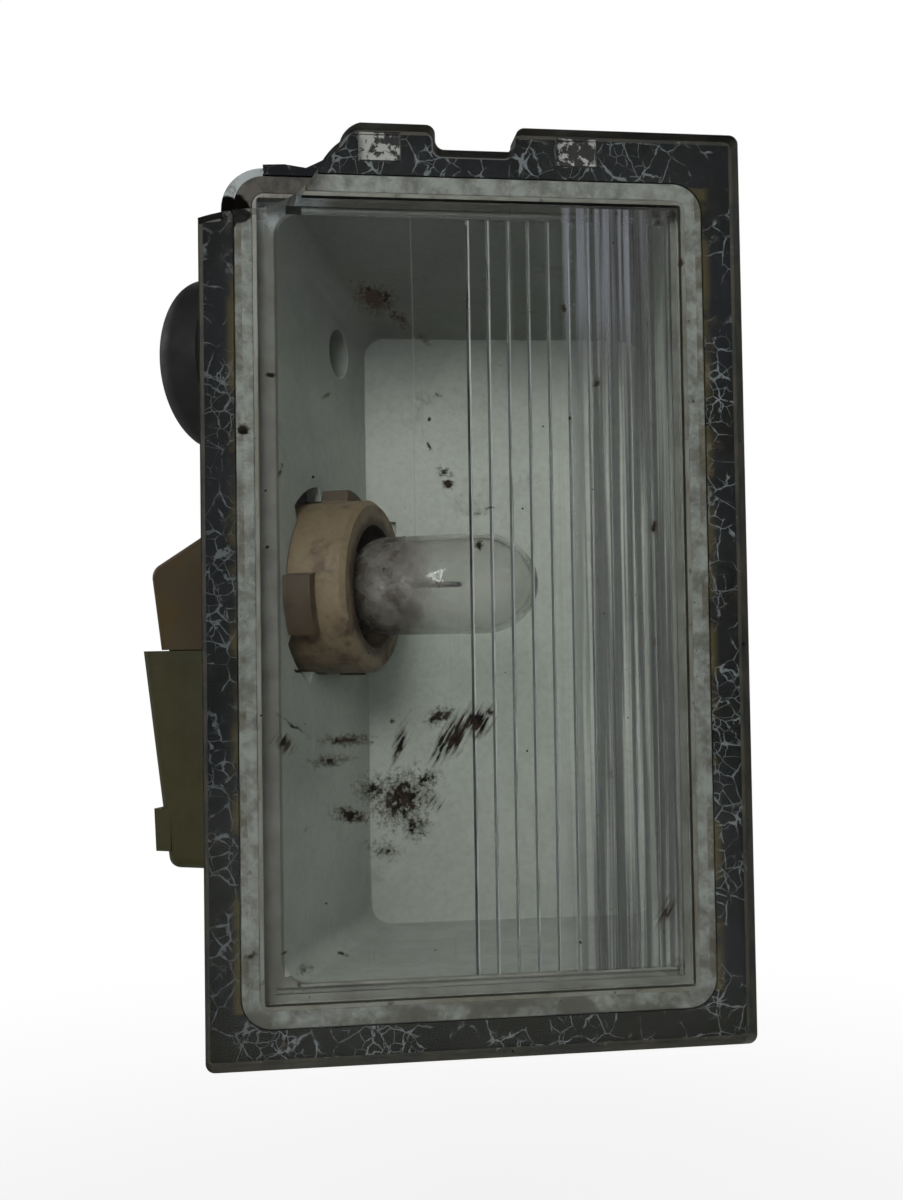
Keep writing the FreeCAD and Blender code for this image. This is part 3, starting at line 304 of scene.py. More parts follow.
def clear_acrylic():
    """Clear acrylic with mud, dust and fine scratches on its front, and frosted feet; its grooves,
    flutes and edges carry painted highlights, reflections and shade.
    """
    p = Paint("clear_acrylic")
    flat = p.flat(p.pos)
    front = p.under(p.y, FRONT_Y)
    pushed = p.warp(800, 0.4 * MM, flat)

    lace = p.scaled(p.blobs(pushed, LACE, 1.25), 0.95, -1.66)
    lace = p.scaled(p.noise(1900, 6.0, 0.78, flat), 2.5, lace)
    mud = p.step(lace, 0.27, 0.38)

    slanted = p.add(
        "Mapping",
        {"Vector": flat, "Rotation": (0, math.radians(32), 0), "Scale": (1, 1, 9)},
        vector_type="TEXTURE",
    )
    lines = p.scaled(p.blobs(pushed, STREAKS), 0.85, -1.06)
    lines = p.scaled(p.noise(3200, 4.0, 0.7, slanted), 1.85, lines)
    mud = p.most(mud, p.step(lines, 0.27, 0.4))
    mud = p.most(mud, p.specks(520, 0.12 * MM, 0.4, p.warp(2500, 0.06 * MM, flat)))
    mud = p.most(mud, p.specks(240, 0.19 * MM, 0.28, p.warp(2500, 0.1 * MM, flat)))
    mud = p.most(mud, p.specks(1000, 0.075 * MM, 0.2, p.warp(2500, 0.05 * MM, flat)))
    mud = p.times(mud, front)

    tint = p.mix(p.step(p.noise(700, 3.0), 0.42, 0.6), rgb(13, 11, 9), rgb(40, 32, 26))
    mud_shader = p.shader(tint, 0.85, p.bump(p.noise(3000, 4.0), 0.05 * MM), Specular_IOR_Level=0.1)

    # The outer edges are painted dark, partly grime and partly painted shade, with pale specks
    # painted on as glints; the torn corner is rough and brown.
    normal = p.add("TexCoord", out="Normal")
    upright = p.under(p.size(p.split(normal, 1)), 0.95)
    outer = p.over(p.size(p.x), BORDER_X)
    outer = p.most(outer, p.over(p.size(p.z), BORDER_Z))
    outer = p.most(outer, p.over(p.minus(p.z, p.x), TORN_RISE))
    brim = p.over(p.size(p.x), BRIM_X)
    brim = p.most(brim, p.over(p.size(p.z), BRIM_Z))
    upright = p.most(upright, p.times(brim, p.over(p.y, BRIM_Y)))
    side = p.times(p.times(upright, outer), p.under(p.y, SKIRT_Y))
    painted_glints = p.step(p.noise(1500, 6.0, 0.8), 0.6, 0.72)
    side_tint = p.mix(p.step(p.noise(260, 5.0, 0.7), 0.4, 0.6), rgb(22, 24, 16), rgb(52, 47, 33))
    edge_grime_and_shade = p.shader(p.mix(painted_glints, side_tint, rgb(128, 128, 118)), 0.55)

    pad = p.times(p.over(p.y, PAD_Y), p.over(p.z, PAD_Z))
    level = p.scaled(p.over(p.x, 0.0), -0.06, p.noise(1000, 5.0, 0.7, p.warp(600, 0.8 * MM)))
    blotch = p.step(level, 0.47, 0.5)
    pad_shader = p.shader(p.mix(blotch, rgb(18, 18, 16), rgb(160, 160, 156)), 0.7)

    haze = p.step(p.noise(130, 5.0, 0.6, flat), 0.35, 0.85, 0.0, 0.045)
    rubbed = p.times(p.stretched(1500, (1, 1, 0.015), detail=2.0), p.noise(120, 3.0, 0.6, flat))
    haze = p.plus(haze, p.step(rubbed, 0.36, 0.44, 0.0, 0.12))
    for x, top, foot in SCRATCHES:
        wander = p.scaled(p.noise(40, 2.0, 0.5, flat), 0.5 * MM, (x - 0.25) * MM)
        near = p.step(p.size(p.minus(p.x, wander)), 0.07 * MM, 0.03 * MM, 0.0, 0.22)
        near = p.times(near, p.step(p.z, foot * MM, (foot + 4.0) * MM))
        near = p.times(near, p.under(p.z, top * MM))
        haze = p.most(haze, near)
    haze = p.times(haze, p.step(p.size(p.x), 24.4 * MM, 23.4 * MM, 0.2, 1.0))
    haze = p.times(haze, front)
    dust_shader = p.shader(p.mix(p.noise(900), rgb(120, 122, 118), rgb(150, 150, 144)), 0.9)

    scratches = p.stretched(900, (1, 1, 0.06), detail=4.0)
    fine = p.times(scratches, p.noise(250, 3.0))
    rough = p.step(p.noise(400, 4.0, 0.6, flat), 0.5, 0.85, 0.0, 0.015)
    clear = p.shader(
        (0.965, 0.98, 0.972, 1),
        rough,
        p.bump(fine, 0.006 * MM),
        IOR=1.49,
        Transmission_Weight=1.0,
        Specular_Tint=(0.3, 0.3, 0.3, 1),
    )

    # The grooves between the flutes get a painted highlight on the flanks that face right and
    # painted shade on the others; the flutes at the right get painted reflections in pale and bluish
    # streaks, and painted shade.
    groove = p.times(p.under(p.y, GROOVE_REAR_Y), p.over(p.y, GROOVE_FRONT_Y))
    groove = p.times(groove, p.over(p.x, GROOVES_FROM_X))
    groove = p.times(groove, p.under(p.size(p.split(normal, 1)), 0.75))
    # Painted highlight on groove flanks that face right, painted shade on the other flanks.
    lit = p.over(p.split(normal, 0), 0.0)
    drawn = p.stretched(1500, (1, 1, 0.1), detail=5.0)
    broken = p.step(drawn, 0.38, 0.58, 0.22, 0.75)
    groove_highlight_and_shade = p.shader(p.mix(lit, rgb(80, 83, 80), rgb(214, 218, 221)), 0.3)
    # Pale streaks along the flutes, bluish high up: painted reflections.
    stripes = p.stretched(1900, (1, 1, 0.012), detail=4.0)
    across = p.math("FRACT", p.math("DIVIDE", p.minus(p.x, FLUTES_FROM), FLUTE_PITCH))
    fluted = p.times(p.under(p.size(p.z), FLUTED_Z), front)
    fluted = p.times(fluted, p.step(p.x, FLUTED_X, FLUTED_X - 0.3 * MM))
    streak_reflections = p.scaled(across, 0.22, stripes)
    streak_reflections = p.times(p.step(streak_reflections, 0.5, 0.72), p.step(p.x, 4 * MM, 9 * MM))
    high = p.step(p.z, 19 * MM, 30 * MM)
    blue_reflection = p.times(high, p.step(p.size(p.minus(p.x, BLUE_X)), 4.6 * MM, 3.4 * MM))
    streak_reflections = p.times(streak_reflections, p.scaled(blue_reflection, 0.27, 0.06))
    streak_reflections = p.times(streak_reflections, fluted)
    reflection_streak_shader = p.shader(p.mix(blue_reflection, rgb(160, 164, 166), rgb(158, 163, 173)), 0.5)
    # Painted shade on stripes of the flutes at the right.
    shade = p.scaled(across, -0.1, p.stretched(1100, (1, 1, 0.012), detail=3.0))
    shade = p.times(p.step(shade, 0.36, 0.5, 0.0, 0.84), p.step(p.x, 7 * MM, 12 * MM))
    shade = p.times(shade, fluted)
    shade_shader = p.shader(p.mix(p.noise(900), rgb(36, 38, 37), rgb(58, 60, 58)), 0.6)
    film = p.step(lace, -0.15, 0.3, 0.0, 0.55)
    film = p.most(film, p.step(lines, -0.1, 0.3, 0.0, 0.45))
    film = p.times(film, front)
    film_tint = p.mix(p.noise(1200, 4.0), rgb(30, 25, 20), rgb(60, 51, 42))
    film_shader = p.shader(film_tint, 0.8, Specular_IOR_Level=0.1)
    body = mixed(p, haze, clear, dust_shader)
    body = mixed(p, shade, body, shade_shader)
    body = mixed(p, streak_reflections, body, reflection_streak_shader)
    body = mixed(p, p.times(groove, broken), body, groove_highlight_and_shade)
    body = mixed(p, film, body, film_shader)
    body = mixed(p, pad, body, pad_shader)
    body = mixed(p, side, body, edge_grime_and_shade)
    return p.done(open_to_lamps(p, mixed(p, mud, body, mud_shader), (0.93, 0.95, 0.94, 1)))


# The seal's front face lies ahead of this.
SEAL_FRONT_Y = -2.2 * MM


def seal_rubber():
    """Black rubber under a dried, crackled skin of adhesive."""
    p = Paint("seal_rubber")
    flat = p.flat(p.pos)
    pushed = p.warp(420, 0.5 * MM, p.warp(1500, 0.16 * MM, flat))
    where = p.noise(150, 4.0, 0.65, flat)
    web = None
    for scale, width, low in ((370, 0.022, 0.41), (700, 0.025, 0.48)):
        cells = {"Vector": pushed, "Scale": scale}
        edge = p.add("TexVoronoi", cells, out="Distance", feature="DISTANCE_TO_EDGE")
        thick = p.times(p.step(p.noise(500, 3.0, 0.6, flat), 0.46, 0.75), 2.2 * width)
        line = p.step(p.minus(edge, thick), 0.0, width, 1.0, 0.0)
        line = p.times(line, p.step(where, low, low + 0.1))
        web = line if web is None else p.most(web, line)
    web = p.times(web, p.step(p.noise(800, 3.0, 0.6, flat), 0.34, 0.46))
    web = p.times(web, p.step(p.x, -22.0 * MM, -19.0 * MM, 0.6, 0.95))
    web = p.times(web, p.under(p.y, SEAL_FRONT_Y))
    ground = p.mix(p.step(p.noise(90, 4.0), 0.35, 0.65), rgb(10, 11, 8), rgb(18, 19, 24))
    ground = p.mix(p.step(p.noise(700, 6.0, 0.7), 0.5, 0.78, 0.0, 0.5), ground, rgb(46, 46, 43))
    ground = p.mix(p.step(p.z, -38.0 * MM, -42.5 * MM, 0.0, 0.55), ground, rgb(24, 24, 15))
    colour = p.mix(web, ground, rgb(100, 104, 106))
    beside = p.step(p.size(p.x), 24.3 * MM, 23.4 * MM)
    beside = p.times(beside, p.step(p.noise(180, 4.0, 0.65, flat), 0.42, 0.58, 0.0, 0.8))
    beside = p.times(beside, p.under(p.size(p.z), 40.0 * MM))
    colour = p.mix(beside, colour, rgb(66, 58, 34))
    colour = p.mix(p.step(p.noise(240, 5.0, 0.7), 0.6, 0.72, 0.0, 0.8), colour, rgb(44, 35, 25))
    height = p.scaled(p.noise(700, 2.0), 0.3, web)
    return p.done(p.shader(colour, 0.75, p.bump(height, 0.012 * MM), Specular_IOR_Level=0.15))


def moulded(name, low, high, grime, rough=(0.38, 0.6), grain=0.02, share=(0.56, 0.74), speck=0.25):
    """A moulded plastic: cloudy colour, fine grain, grime in patches and specks."""
    p = Paint(name)
    colour = p.mix(p.step(p.noise(70, 4.0), 0.3, 0.7), low, high)
    colour = p.mix(p.step(p.noise(1400, 5.0, 0.7), 0.35, 0.8, 0.0, 0.25), colour, grime)
    dirty = p.step(p.noise(190, 6.0, 0.7, p.warp(300, 1.5 * MM)), *share)
    dirty = p.most(p.times(dirty, 0.55), p.specks(420, 0.13 * MM, speck))
    colour = p.mix(dirty, colour, grime)
    height = p.scaled(dirty, 0.6, p.noise(2600, 3.0))
    return p, colour, p.step(p.noise(300, 4.0), 0.3, 0.7, *rough), p.bump(height, grain * MM)


# Places on the housing, in metres: the rim lies ahead of RIM_Y and the chamber behind INSIDE_Y.
RIM_Y, LEDGE_Y, INSIDE_Y = -1.2 * MM, 1.25 * MM, 1.2 * MM
FLANGE_Y, CRUMB_Y = 0.9 * MM, 0.5 * MM
LEDGE_X, LEDGE_Z = 19.1 * MM, 37.4 * MM
SEAM_X = 22.5 * MM

# Holes torn in the bare corner, painted near-black as their shade; marks as in LACE.
CRUMBS = [(-23.3, 37.0, 2.4, 1.9, 35, 1.0), (-24.0, 35.6, 1.4, 1.3, 0, 1.0)]


def housing_plastic():
    """Grey-white plastic, with painted shade that darkens the chamber towards its top, its left and
    its bottom, and stained where glue ran over the rim.
    """
    p, colour, rough, normal = moulded(
        "housing_plastic",
        rgb(146, 150, 143),
        rgb(160, 163, 156),
        rgb(84, 78, 66),
        (0.34, 0.55),
        share=(0.6, 0.8),
    )
    # Painted shade in the chamber: neutral grey that darkens it towards the top and the left, and
    # towards the bottom.
    inside = p.over(p.y, INSIDE_Y)
    cloud = p.scaled(p.noise(60, 4.0), 8 * MM, p.scaled(p.x, -0.3, p.z))
    painted_shade = p.times(p.step(cloud, 20 * MM, 40 * MM, 0.0, 0.64), inside)
    painted_shade = p.most(painted_shade, p.times(p.step(p.x, -8 * MM, -19 * MM, 0.0, 0.34), inside))
    low = p.times(p.step(p.z, -16 * MM, -36 * MM, 0.0, 0.35), inside)
    colour = p.mix(p.most(painted_shade, low), colour, rgb(70, 72, 70))
    ledge = p.times(p.over(p.y, RIM_Y), p.under(p.y, LEDGE_Y))
    wide = p.over(p.size(p.x), LEDGE_X)
    wide = p.most(wide, p.over(p.size(p.z), LEDGE_Z))
    ledge = p.times(ledge, wide)
    dull = p.mix(p.step(p.noise(300, 4.0), 0.35, 0.65), rgb(74, 70, 64), rgb(94, 92, 87))
    colour = p.mix(p.times(ledge, 0.85), colour, dull)
    rim = p.under(p.y, RIM_Y)
    worn = p.step(p.noise(420, 5.0, 0.7, p.warp(300, 1.0 * MM)), 0.34, 0.66)
    worn = p.mix(worn, rgb(70, 69, 63), rgb(116, 118, 115))
    colour = p.mix(p.times(rim, 0.92), colour, worn)
    seam = p.over(p.size(p.x), SEAM_X)
    seam = p.times(seam, rim)
    stain = p.times(seam, p.step(p.noise(260, 5.0, 0.7), 0.44, 0.64, 0.0, 0.75))
    colour = p.mix(stain, colour, rgb(62, 54, 36))
    lower = p.times(rim, p.step(p.z, -38.6 * MM, -40.4 * MM, 0.0, 0.85))
    lower = p.times(lower, p.step(p.noise(330, 4.0), 0.36, 0.6))
    colour = p.mix(lower, colour, rgb(62, 60, 52))

    # The corner that the torn lens leaves bare.
    torn = p.times(p.step(p.x, -13.0 * MM, -16.0 * MM), p.step(p.z, 34.5 * MM, 37.0 * MM))
    crust = p.mix(p.step(p.noise(600, 5.0, 0.75), 0.38, 0.62), rgb(26, 23, 19), rgb(72, 67, 59))
    colour = p.mix(p.times(p.times(torn, rim), 0.9), colour, crust)
    bare = p.times(torn, p.times(p.over(p.y, RIM_Y), p.under(p.y, FLANGE_Y)))
    pale = p.mix(p.step(p.noise(500, 6.0, 0.75), 0.5, 0.72), rgb(158, 164, 166), rgb(104, 104, 100))
    colour = p.mix(bare, colour, pale)
    # Near-black, unglossy spots in the bare corner: painted shade that stands for the holes torn
    # there.
    torn_hole = p.blobs(p.warp(700, 0.5 * MM, p.flat(p.pos)), CRUMBS)
    torn_hole = p.times(p.step(torn_hole, 0.1, 0.25), p.under(p.y, CRUMB_Y))
    black = p.mix(p.noise(900, 4.0), rgb(5, 5, 4), rgb(20, 18, 15))
    painted_hole_shade = p.shader(black, 0.95, Specular_IOR_Level=0.0)
    return p.done(mixed(p, torn_hole, p.shader(colour, rough, normal, Specular_IOR_Level=0.2), painted_hole_shade))


def holder_nylon():
    """Tan nylon, scorched where the bulb's heat reaches it and darkest in the bore round the bulb,
    partly with painted shade, olive with grime outside.
    """
    tan = rgb(98, 85, 66), rgb(112, 98, 77), rgb(46, 34, 24)
    p, colour, rough, normal = moulded("holder_nylon", *tan)
    from_wall = p.vmath("SUBTRACT", p.pos, AXIS_POINT)
    depth = p.add("VectorMath", {0: from_wall, 1: INWARD}, out="Value", operation="DOT_PRODUCT")
    inside = p.step(depth, -1.0 * MM, 0.5 * MM)
    cloud = p.noise(240, 4.0, 0.6, p.warp(300, 1.0 * MM))
    low = p.step(p.z, 3 * MM, -8 * MM, 0.0, 0.1)
    burnt = p.times(p.step(p.plus(cloud, low), 0.52, 0.72, 0.0, 0.85), inside)
    colour = p.mix(burnt, colour, rgb(46, 32, 25))
    sideways = p.vmath("CROSS_PRODUCT", from_wall, INWARD)
    reach = p.add("VectorMath", {0: sideways}, out="Value", operation="LENGTH")
    # Darker in the bore round the bulb: partly scorching, partly painted shade of the recess.
    bore_char_and_shade = p.scaled(p.noise(500, 4.0, 0.7), 1.6 * MM, reach)
    bore_char_and_shade = p.times(p.step(bore_char_and_shade, 8.5 * MM, 7.6 * MM, 0.0, 0.9), inside)
    char_and_shade_tint = p.mix(p.step(p.noise(700, 5.0, 0.7), 0.4, 0.6), rgb(28, 21, 17), rgb(62, 46, 36))
    colour = p.mix(bore_char_and_shade, colour, char_and_shade_tint)
    lug = p.times(p.step(reach, 9.05 * MM, 9.3 * MM, 0.0, 0.8), inside)
    colour = p.mix(lug, colour, rgb(50, 41, 32))
    outside = p.step(p.x, -19.5 * MM, -21 * MM)
    olive = p.mix(p.step(p.noise(150, 5.0, 0.6), 0.35, 0.65), rgb(44, 34, 11), rgb(58, 45, 16))
    colour = p.mix(outside, colour, olive)
    colour = p.mix(p.specks(700, 0.14 * MM, 0.2), colour, rgb(20, 18, 15))
    return p.done(p.shader(colour, rough, normal, Specular_IOR_Level=0.25))


def shell_nylon():
    p, colour, rough, normal = moulded(
        "shell_nylon",
        rgb(41, 40, 15),
        rgb(51, 49, 20),
        rgb(24, 23, 12),
        (0.42, 0.62),
        share=(0.6, 0.75),
    )
    return p.done(p.shader(colour, rough, normal, Specular_IOR_Level=0.25))


def lock_nylon():
    p, colour, rough, normal = moulded(
        "lock_nylon", rgb(176, 172, 150), rgb(190, 188, 168), rgb(96, 84, 64)
    )
    return p.done(p.shader(colour, rough, normal))


def rubber(name, low, high, dust):
    p = Paint(name)
    colour = p.mix(p.step(p.noise(160, 5.0, 0.65), 0.3, 0.7), low, high)
    colour = p.mix(p.step(p.noise(1300, 5.0, 0.7), 0.5, 0.75, 0.0, 0.5), colour, dust)
    colour = p.mix(p.specks(500, 0.12 * MM, 0.12), colour, rgb(120, 122, 122))
    rough = p.step(p.noise(220, 4.0), 0.3, 0.7, 0.55, 0.78)
    normal = p.bump(p.noise(1800, 4.0), 0.02 * MM)
    return p.done(p.shader(colour, rough, normal, Specular_IOR_Level=0.35))


def metal(name, bright, dull, rust, rust_from=0.58, axis=(1, 1, 0.08)):
    p = Paint(name)
    brushed = p.stretched(2200, axis)
    colour = p.mix(p.noise(300, 5.0), bright, dull)
    spots = p.step(p.noise(480, 6.0, 0.7), rust_from, rust_from + 0.1)
    colour = p.mix(spots, colour, rust)
    rough = p.most(p.step(brushed, 0.3, 0.7, 0.22, 0.42), p.times(spots, 0.75))
    metallic = p.step(spots, 0.2, 0.8, 1.0, 0.15)
    height = p.scaled(spots, 0.8, p.times(brushed, 0.3))
    return p.done(p.shader(colour, rough, p.bump(height, 0.02 * MM), Metallic=metallic))


def blown_glass(name, tint, smoke, smoke_amount):
    """Thin blown glass with a smoky deposit, and dust that thickens towards its outline, which also
    paints a highlight along its edges.
    """
    p = Paint(name)
    normal = p.bump(p.noise(180, 2.0), 0.004 * MM)
    clear = p.shader(tint, 0.0, normal, IOR=1.5, Transmission_Weight=1.0)
    cloud = p.step(p.noise(320, 5.0, 0.65), 0.35, 0.75, 0.25 * smoke_amount, smoke_amount)
    # Film growing towards the outline: partly dust seen edge-on, partly a painted highlight on the
    # glass's bright edges.
    edge = p.add("LayerWeight", {"Blend": 0.35}, out="Facing")
    cloud = p.plus(cloud, p.times(p.math("POWER", edge, 4.0), 0.35))
    near_base = p.step(p.x, -1.5 * MM, -8.0 * MM)
    sooted = p.times(near_base, p.step(p.noise(420, 5.0, 0.7), 0.36, 0.6, 0.35, 1.0))
    film = p.shader(p.mix(p.noise(600), smoke, rgb(150, 146, 138)), 0.6)
    brown = p.mix(p.noise(900), rgb(30, 24, 20), rgb(66, 56, 47))
    film = mixed(p, sooted, film, p.shader(brown, 0.7))
    cloud = p.most(cloud, p.times(sooted, 3.8 * smoke_amount))
    return p.done(open_to_lamps(p, mixed(p, cloud, clear, film), (0.95, 0.96, 0.95, 1)))


def foam():
    p = Paint("filter_foam")
    cells = p.add("TexVoronoi", {"Vector": p.pos, "Scale": 1800}, out="Distance")
    colour = p.mix(p.step(cells, 0.2, 0.6), rgb(18, 18, 18), rgb(48, 48, 46))
    return p.done(p.shader(colour, 0.95, p.bump(cells, 0.2 * MM)))


def glue():
    p = Paint("glue")
    colour = p.mix(p.step(p.noise(220, 5.0, 0.6), 0.35, 0.65), rgb(104, 104, 98), rgb(84, 80, 68))
    colour = p.mix(p.step(p.noise(900, 4.0), 0.6, 0.7), colour, rgb(50, 45, 36))
    return p.done(p.shader(colour, 0.4, p.bump(p.noise(700, 3.0), 0.05 * MM)))


# Finishes: name, then what its function takes.
METALS = (
    ("spring_steel", rgb(168, 168, 164), rgb(120, 120, 116), rgb(96, 58, 34), 0.6, (0.08, 1, 1)),
    ("pin_steel", rgb(150, 150, 148), rgb(112, 112, 110), rgb(92, 60, 38), 0.62, (0.08, 1, 1)),
    ("contact_brass", rgb(190, 152, 84), rgb(140, 104, 58), rgb(70, 84, 62), 0.6),
    ("lead_metal", rgb(150, 146, 138), rgb(110, 104, 96), rgb(70, 52, 42), 0.66),
    ("tungsten", rgb(96, 96, 100), rgb(66, 66, 70), rgb(50, 50, 54), 0.7),
)
RUBBERS = (
    ("cap_rubber", rgb(7, 8, 7), rgb(12, 13, 12), rgb(24, 25, 23)),
    ("holder_rubber", rgb(38, 38, 38), rgb(52, 52, 50), rgb(76, 70, 60)),
    ("socket_rubber", rgb(112, 52, 38), rgb(132, 66, 46), rgb(80, 60, 50)),
)
GLASSES = (
    ("bulb_glass", (0.97, 0.98, 0.97, 1), rgb(102, 98, 90), 0.23),
    ("bead_glass", (0.95, 0.95, 0.92, 1), rgb(190, 184, 172), 0.75),
)
MATERIALS = {
    "clear_acrylic": clear_acrylic(),
    "seal_rubber": seal_rubber(),
    "glue": glue(),
    "housing_plastic": housing_plastic(),
    "filter_foam": foam(),
    "holder_nylon": holder_nylon(),
    "shell_nylon": shell_nylon(),
    "lock_nylon": lock_nylon(),
}
for make, finishes in ((metal, METALS), (rubber, RUBBERS), (blown_glass, GLASSES)):
    MATERIALS.update({finish[0]: make(*finish) for finish in finishes})

SLOTS = {row["node"]: row["material_slot"] for row in frame["record"]["subparts"]}
for node, slot in SLOTS.items():
    mesh = frame["nodes"][node].data
    mesh.materials.clear()
    mesh.materials.append(MATERIALS[slot])


# ------------------------------------------------------------------ pieces
def body_of(node):
    return frame["nodes"][node]["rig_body"]


def piece(name, mesh, node, replaces=()):
    """A new piece that rides on a CAD node's body, in its finish, and stands for the nodes named."""
    ob = bpy.data.objects.new(name, mesh)
    SCENE.collection.objects.link(ob)
    mesh.materials.clear()
    mesh.materials.append(MATERIALS[SLOTS[node]])
    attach(ob, body_of(node))
    if replaces:
        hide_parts(*replaces)
    return ob


MERGE = 0.002 * MM
FLAT_ANGLE = math.radians(0.6)
EDGE_ANGLE = math.radians(32)
SAME_PLACE = 0.005 * MM
TOUCHING = 1e-7


def clean_copy(node):
    """A CAD node's mesh as a bmesh, with its coplanar triangles joined."""
    source = frame["nodes"][node].data
    bare = bpy.data.meshes.new("bare")
    faces = [list(f.vertices) for f in source.polygons]
    bare.from_pydata([v.co[:] for v in source.vertices], [], faces)
    bm = bmesh.new()
    bm.from_mesh(bare)
    bpy.data.meshes.remove(bare)
    bmesh.ops.remove_doubles(bm, verts=bm.verts[:], dist=MERGE)
    bmesh.ops.dissolve_limit(bm, angle_limit=FLAT_ANGLE, verts=bm.verts[:], edges=bm.edges[:])
    return bm


def round_edges(ob, width, angle):
    bevel = ob.modifiers.new("edges", "BEVEL")
    bevel.width, bevel.segments, bevel.limit_method = width * MM, 2, "ANGLE"
    bevel.angle_limit = angle
    bevel.use_clamp_overlap = True
    return bevel


def edged(node, name, width):
    """A copy of a CAD node with its sharp edges rounded, which stands for the node."""
    bm = clean_copy(node)
    mesh = bpy.data.meshes.new(name)
    bm.to_mesh(mesh)
    bm.free()
    ob = piece(name, mesh, node, [node])
    round_edges(ob, width, EDGE_ANGLE).harden_normals = True
    mesh.shade_smooth()
    mesh.set_sharp_from_angle(angle=EDGE_ANGLE)


def make_lens():
    """The clear lens, its rear faces drawn in by a film of air from the seal and the rim."""
    seal_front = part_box("seal_gasket")[0].y
    bm = clean_copy("lens")
    for v in bm.verts:
        if abs(v.co.y - seal_front) < SAME_PLACE:
            v.co.y -= AIR
    mesh = bpy.data.meshes.new("clear_lens")
    bm.to_mesh(mesh)
    bm.free()
    ob = piece("clear_lens", mesh, "lens", ["lens"])
    round_edges(ob, 0.16, math.radians(60))


def along(node):
    """A node's range along the holder's axis, out of the lamp, in metres."""
    verts = frame["nodes"][node].data.vertices
    heights = [(v.co - AXIS_POINT).dot(-INWARD) for v in verts]
    return min(heights), max(heights)


def turned(profile, steps):
    """Vertices and faces of a surface turned about the holder's axis: (radius, height) pairs."""
    verts, faces = [], []
    for r, h in profile:
        for i in range(steps):
            a = 2 * math.pi * i / steps
            verts.append(ON_AXIS @ Vector((r * math.cos(a), r * math.sin(a), h)))
    for k in range(len(profile) - 1):
        for i in range(steps):
            j = (i + 1) % steps
            faces.append((k * steps + i, k * steps + j, (k + 1) * steps + j, (k + 1) * steps + i))
    return verts, faces


def mesh_from(name, verts, faces, smooth_angle=40):
    mesh = bpy.data.meshes.new(name)
    mesh.from_pydata([tuple(v) for v in verts], [], faces)
    bm = bmesh.new()
    bm.from_mesh(mesh)
    bmesh.ops.remove_doubles(bm, verts=bm.verts[:], dist=TOUCHING)
    bmesh.ops.recalc_face_normals(bm, faces=bm.faces[:])
    bm.to_mesh(mesh)
    bm.free()
    mesh.shade_smooth()
    mesh.set_sharp_from_angle(angle=math.radians(smooth_angle))
    return mesh


# The bulb, in metres: heights run out of the lamp along the holder's axis.
BULB_WALL = 0.5 * MM
DOME = 5.4 * MM
NECK = -4.2 * MM
NECK_TAPER, NECK_DRAW = 3.4 * MM, 2.7 * MM
WEDGE_WIDE, WEDGE_THICK = 9.5 * MM, 2.1 * MM
ENVELOPE_DEPTH = 12 * MM
DOME_STEPS, NECK_STEPS, ROUND_STEPS = 16, 8, 72


def make_bulb():
    """The blown envelope and its pinched wedge base."""
    tip, high = along("bulb_glass")
    radius = max(
        ((v.co - AXIS_POINT) - INWARD * (v.co - AXIS_POINT).dot(INWARD)).length
        for v in frame["nodes"]["bulb_glass"].data.vertices
        if (v.co - AXIS_POINT).dot(-INWARD) < tip + ENVELOPE_DEPTH
    )
    taper = NECK - NECK_TAPER
    outer = [(0.0, tip)]
    for i in range(1, DOME_STEPS + 1):
        a = math.pi / 2 * i / DOME_STEPS
        outer.append((radius * math.sin(a), tip + DOME * (1 - math.cos(a))))
    outer += [(radius, tip + DOME + t * (taper - tip - DOME)) for t in (0.25, 0.5, 0.75, 1.0)]
    for i in range(1, NECK_STEPS + 1):
        a = math.pi / 2 * i / NECK_STEPS
        drawn_in = NECK_DRAW * (1 - math.cos(a))
        outer.append((radius - drawn_in, taper + NECK_TAPER * math.sin(a)))
    outer.append((0.0, NECK))
    inner = [
        (max(r - BULB_WALL, 0.0), h + BULB_WALL if h < tip + DOME else h) for r, h in outer[:-1]
    ]
    inner = [(r, min(h, NECK - BULB_WALL)) for r, h in inner] + [(0.0, NECK - BULB_WALL)]
    verts, faces = turned(outer, ROUND_STEPS)
    inner_verts, inner_faces = turned(inner, ROUND_STEPS)
    faces += [tuple(len(verts) + i for i in reversed(f)) for f in inner_faces]
    mesh = bpy.data.meshes.new("bulb_envelope")
    mesh.from_pydata([tuple(v) for v in verts + inner_verts], [], faces)
    bm = bmesh.new()
    bm.from_mesh(mesh)
    bmesh.ops.remove_doubles(bm, verts=bm.verts[:], dist=TOUCHING)
    for v in bmesh.ops.create_cube(bm, size=1.0)["verts"]:
        height = NECK + (v.co.z + 0.5) * (high - NECK)
        v.co = ON_AXIS @ Vector((v.co.x * WEDGE_WIDE, v.co.y * WEDGE_THICK, height))
    bm.to_mesh(mesh)
    bm.free()
    mesh.shade_smooth()
    mesh.set_sharp_from_angle(angle=math.radians(50))
    piece("bulb_envelope", mesh, "bulb_glass", ["bulb_glass"])


def tube_along(points, radius, sides=8):
    """Vertices and faces of a thin tube along points."""
    verts, faces = [], []
    for k, point in enumerate(points):
        ahead = points[min(k + 1, len(points) - 1)] - points[max(k - 1, 0)]
        ahead.normalize()
        side = ahead.orthogonal() if k == 0 else side - ahead * side.dot(ahead)
        side.normalize()
        up = ahead.cross(side)
        for i in range(sides):
            a = 2 * math.pi * i / sides
            verts.append(point + (side * math.cos(a) + up * math.sin(a)) * radius)
    for k in range(len(points) - 1):
        for i in range(sides):
            j = (i + 1) % sides
            faces.append((k * sides + i, k * sides + j, (k + 1) * sides + j, (k + 1) * sides + i))
    faces.append(tuple(reversed(range(sides))))
    faces.append(tuple(range((len(points) - 1) * sides, len(points) * sides)))
    return verts, faces


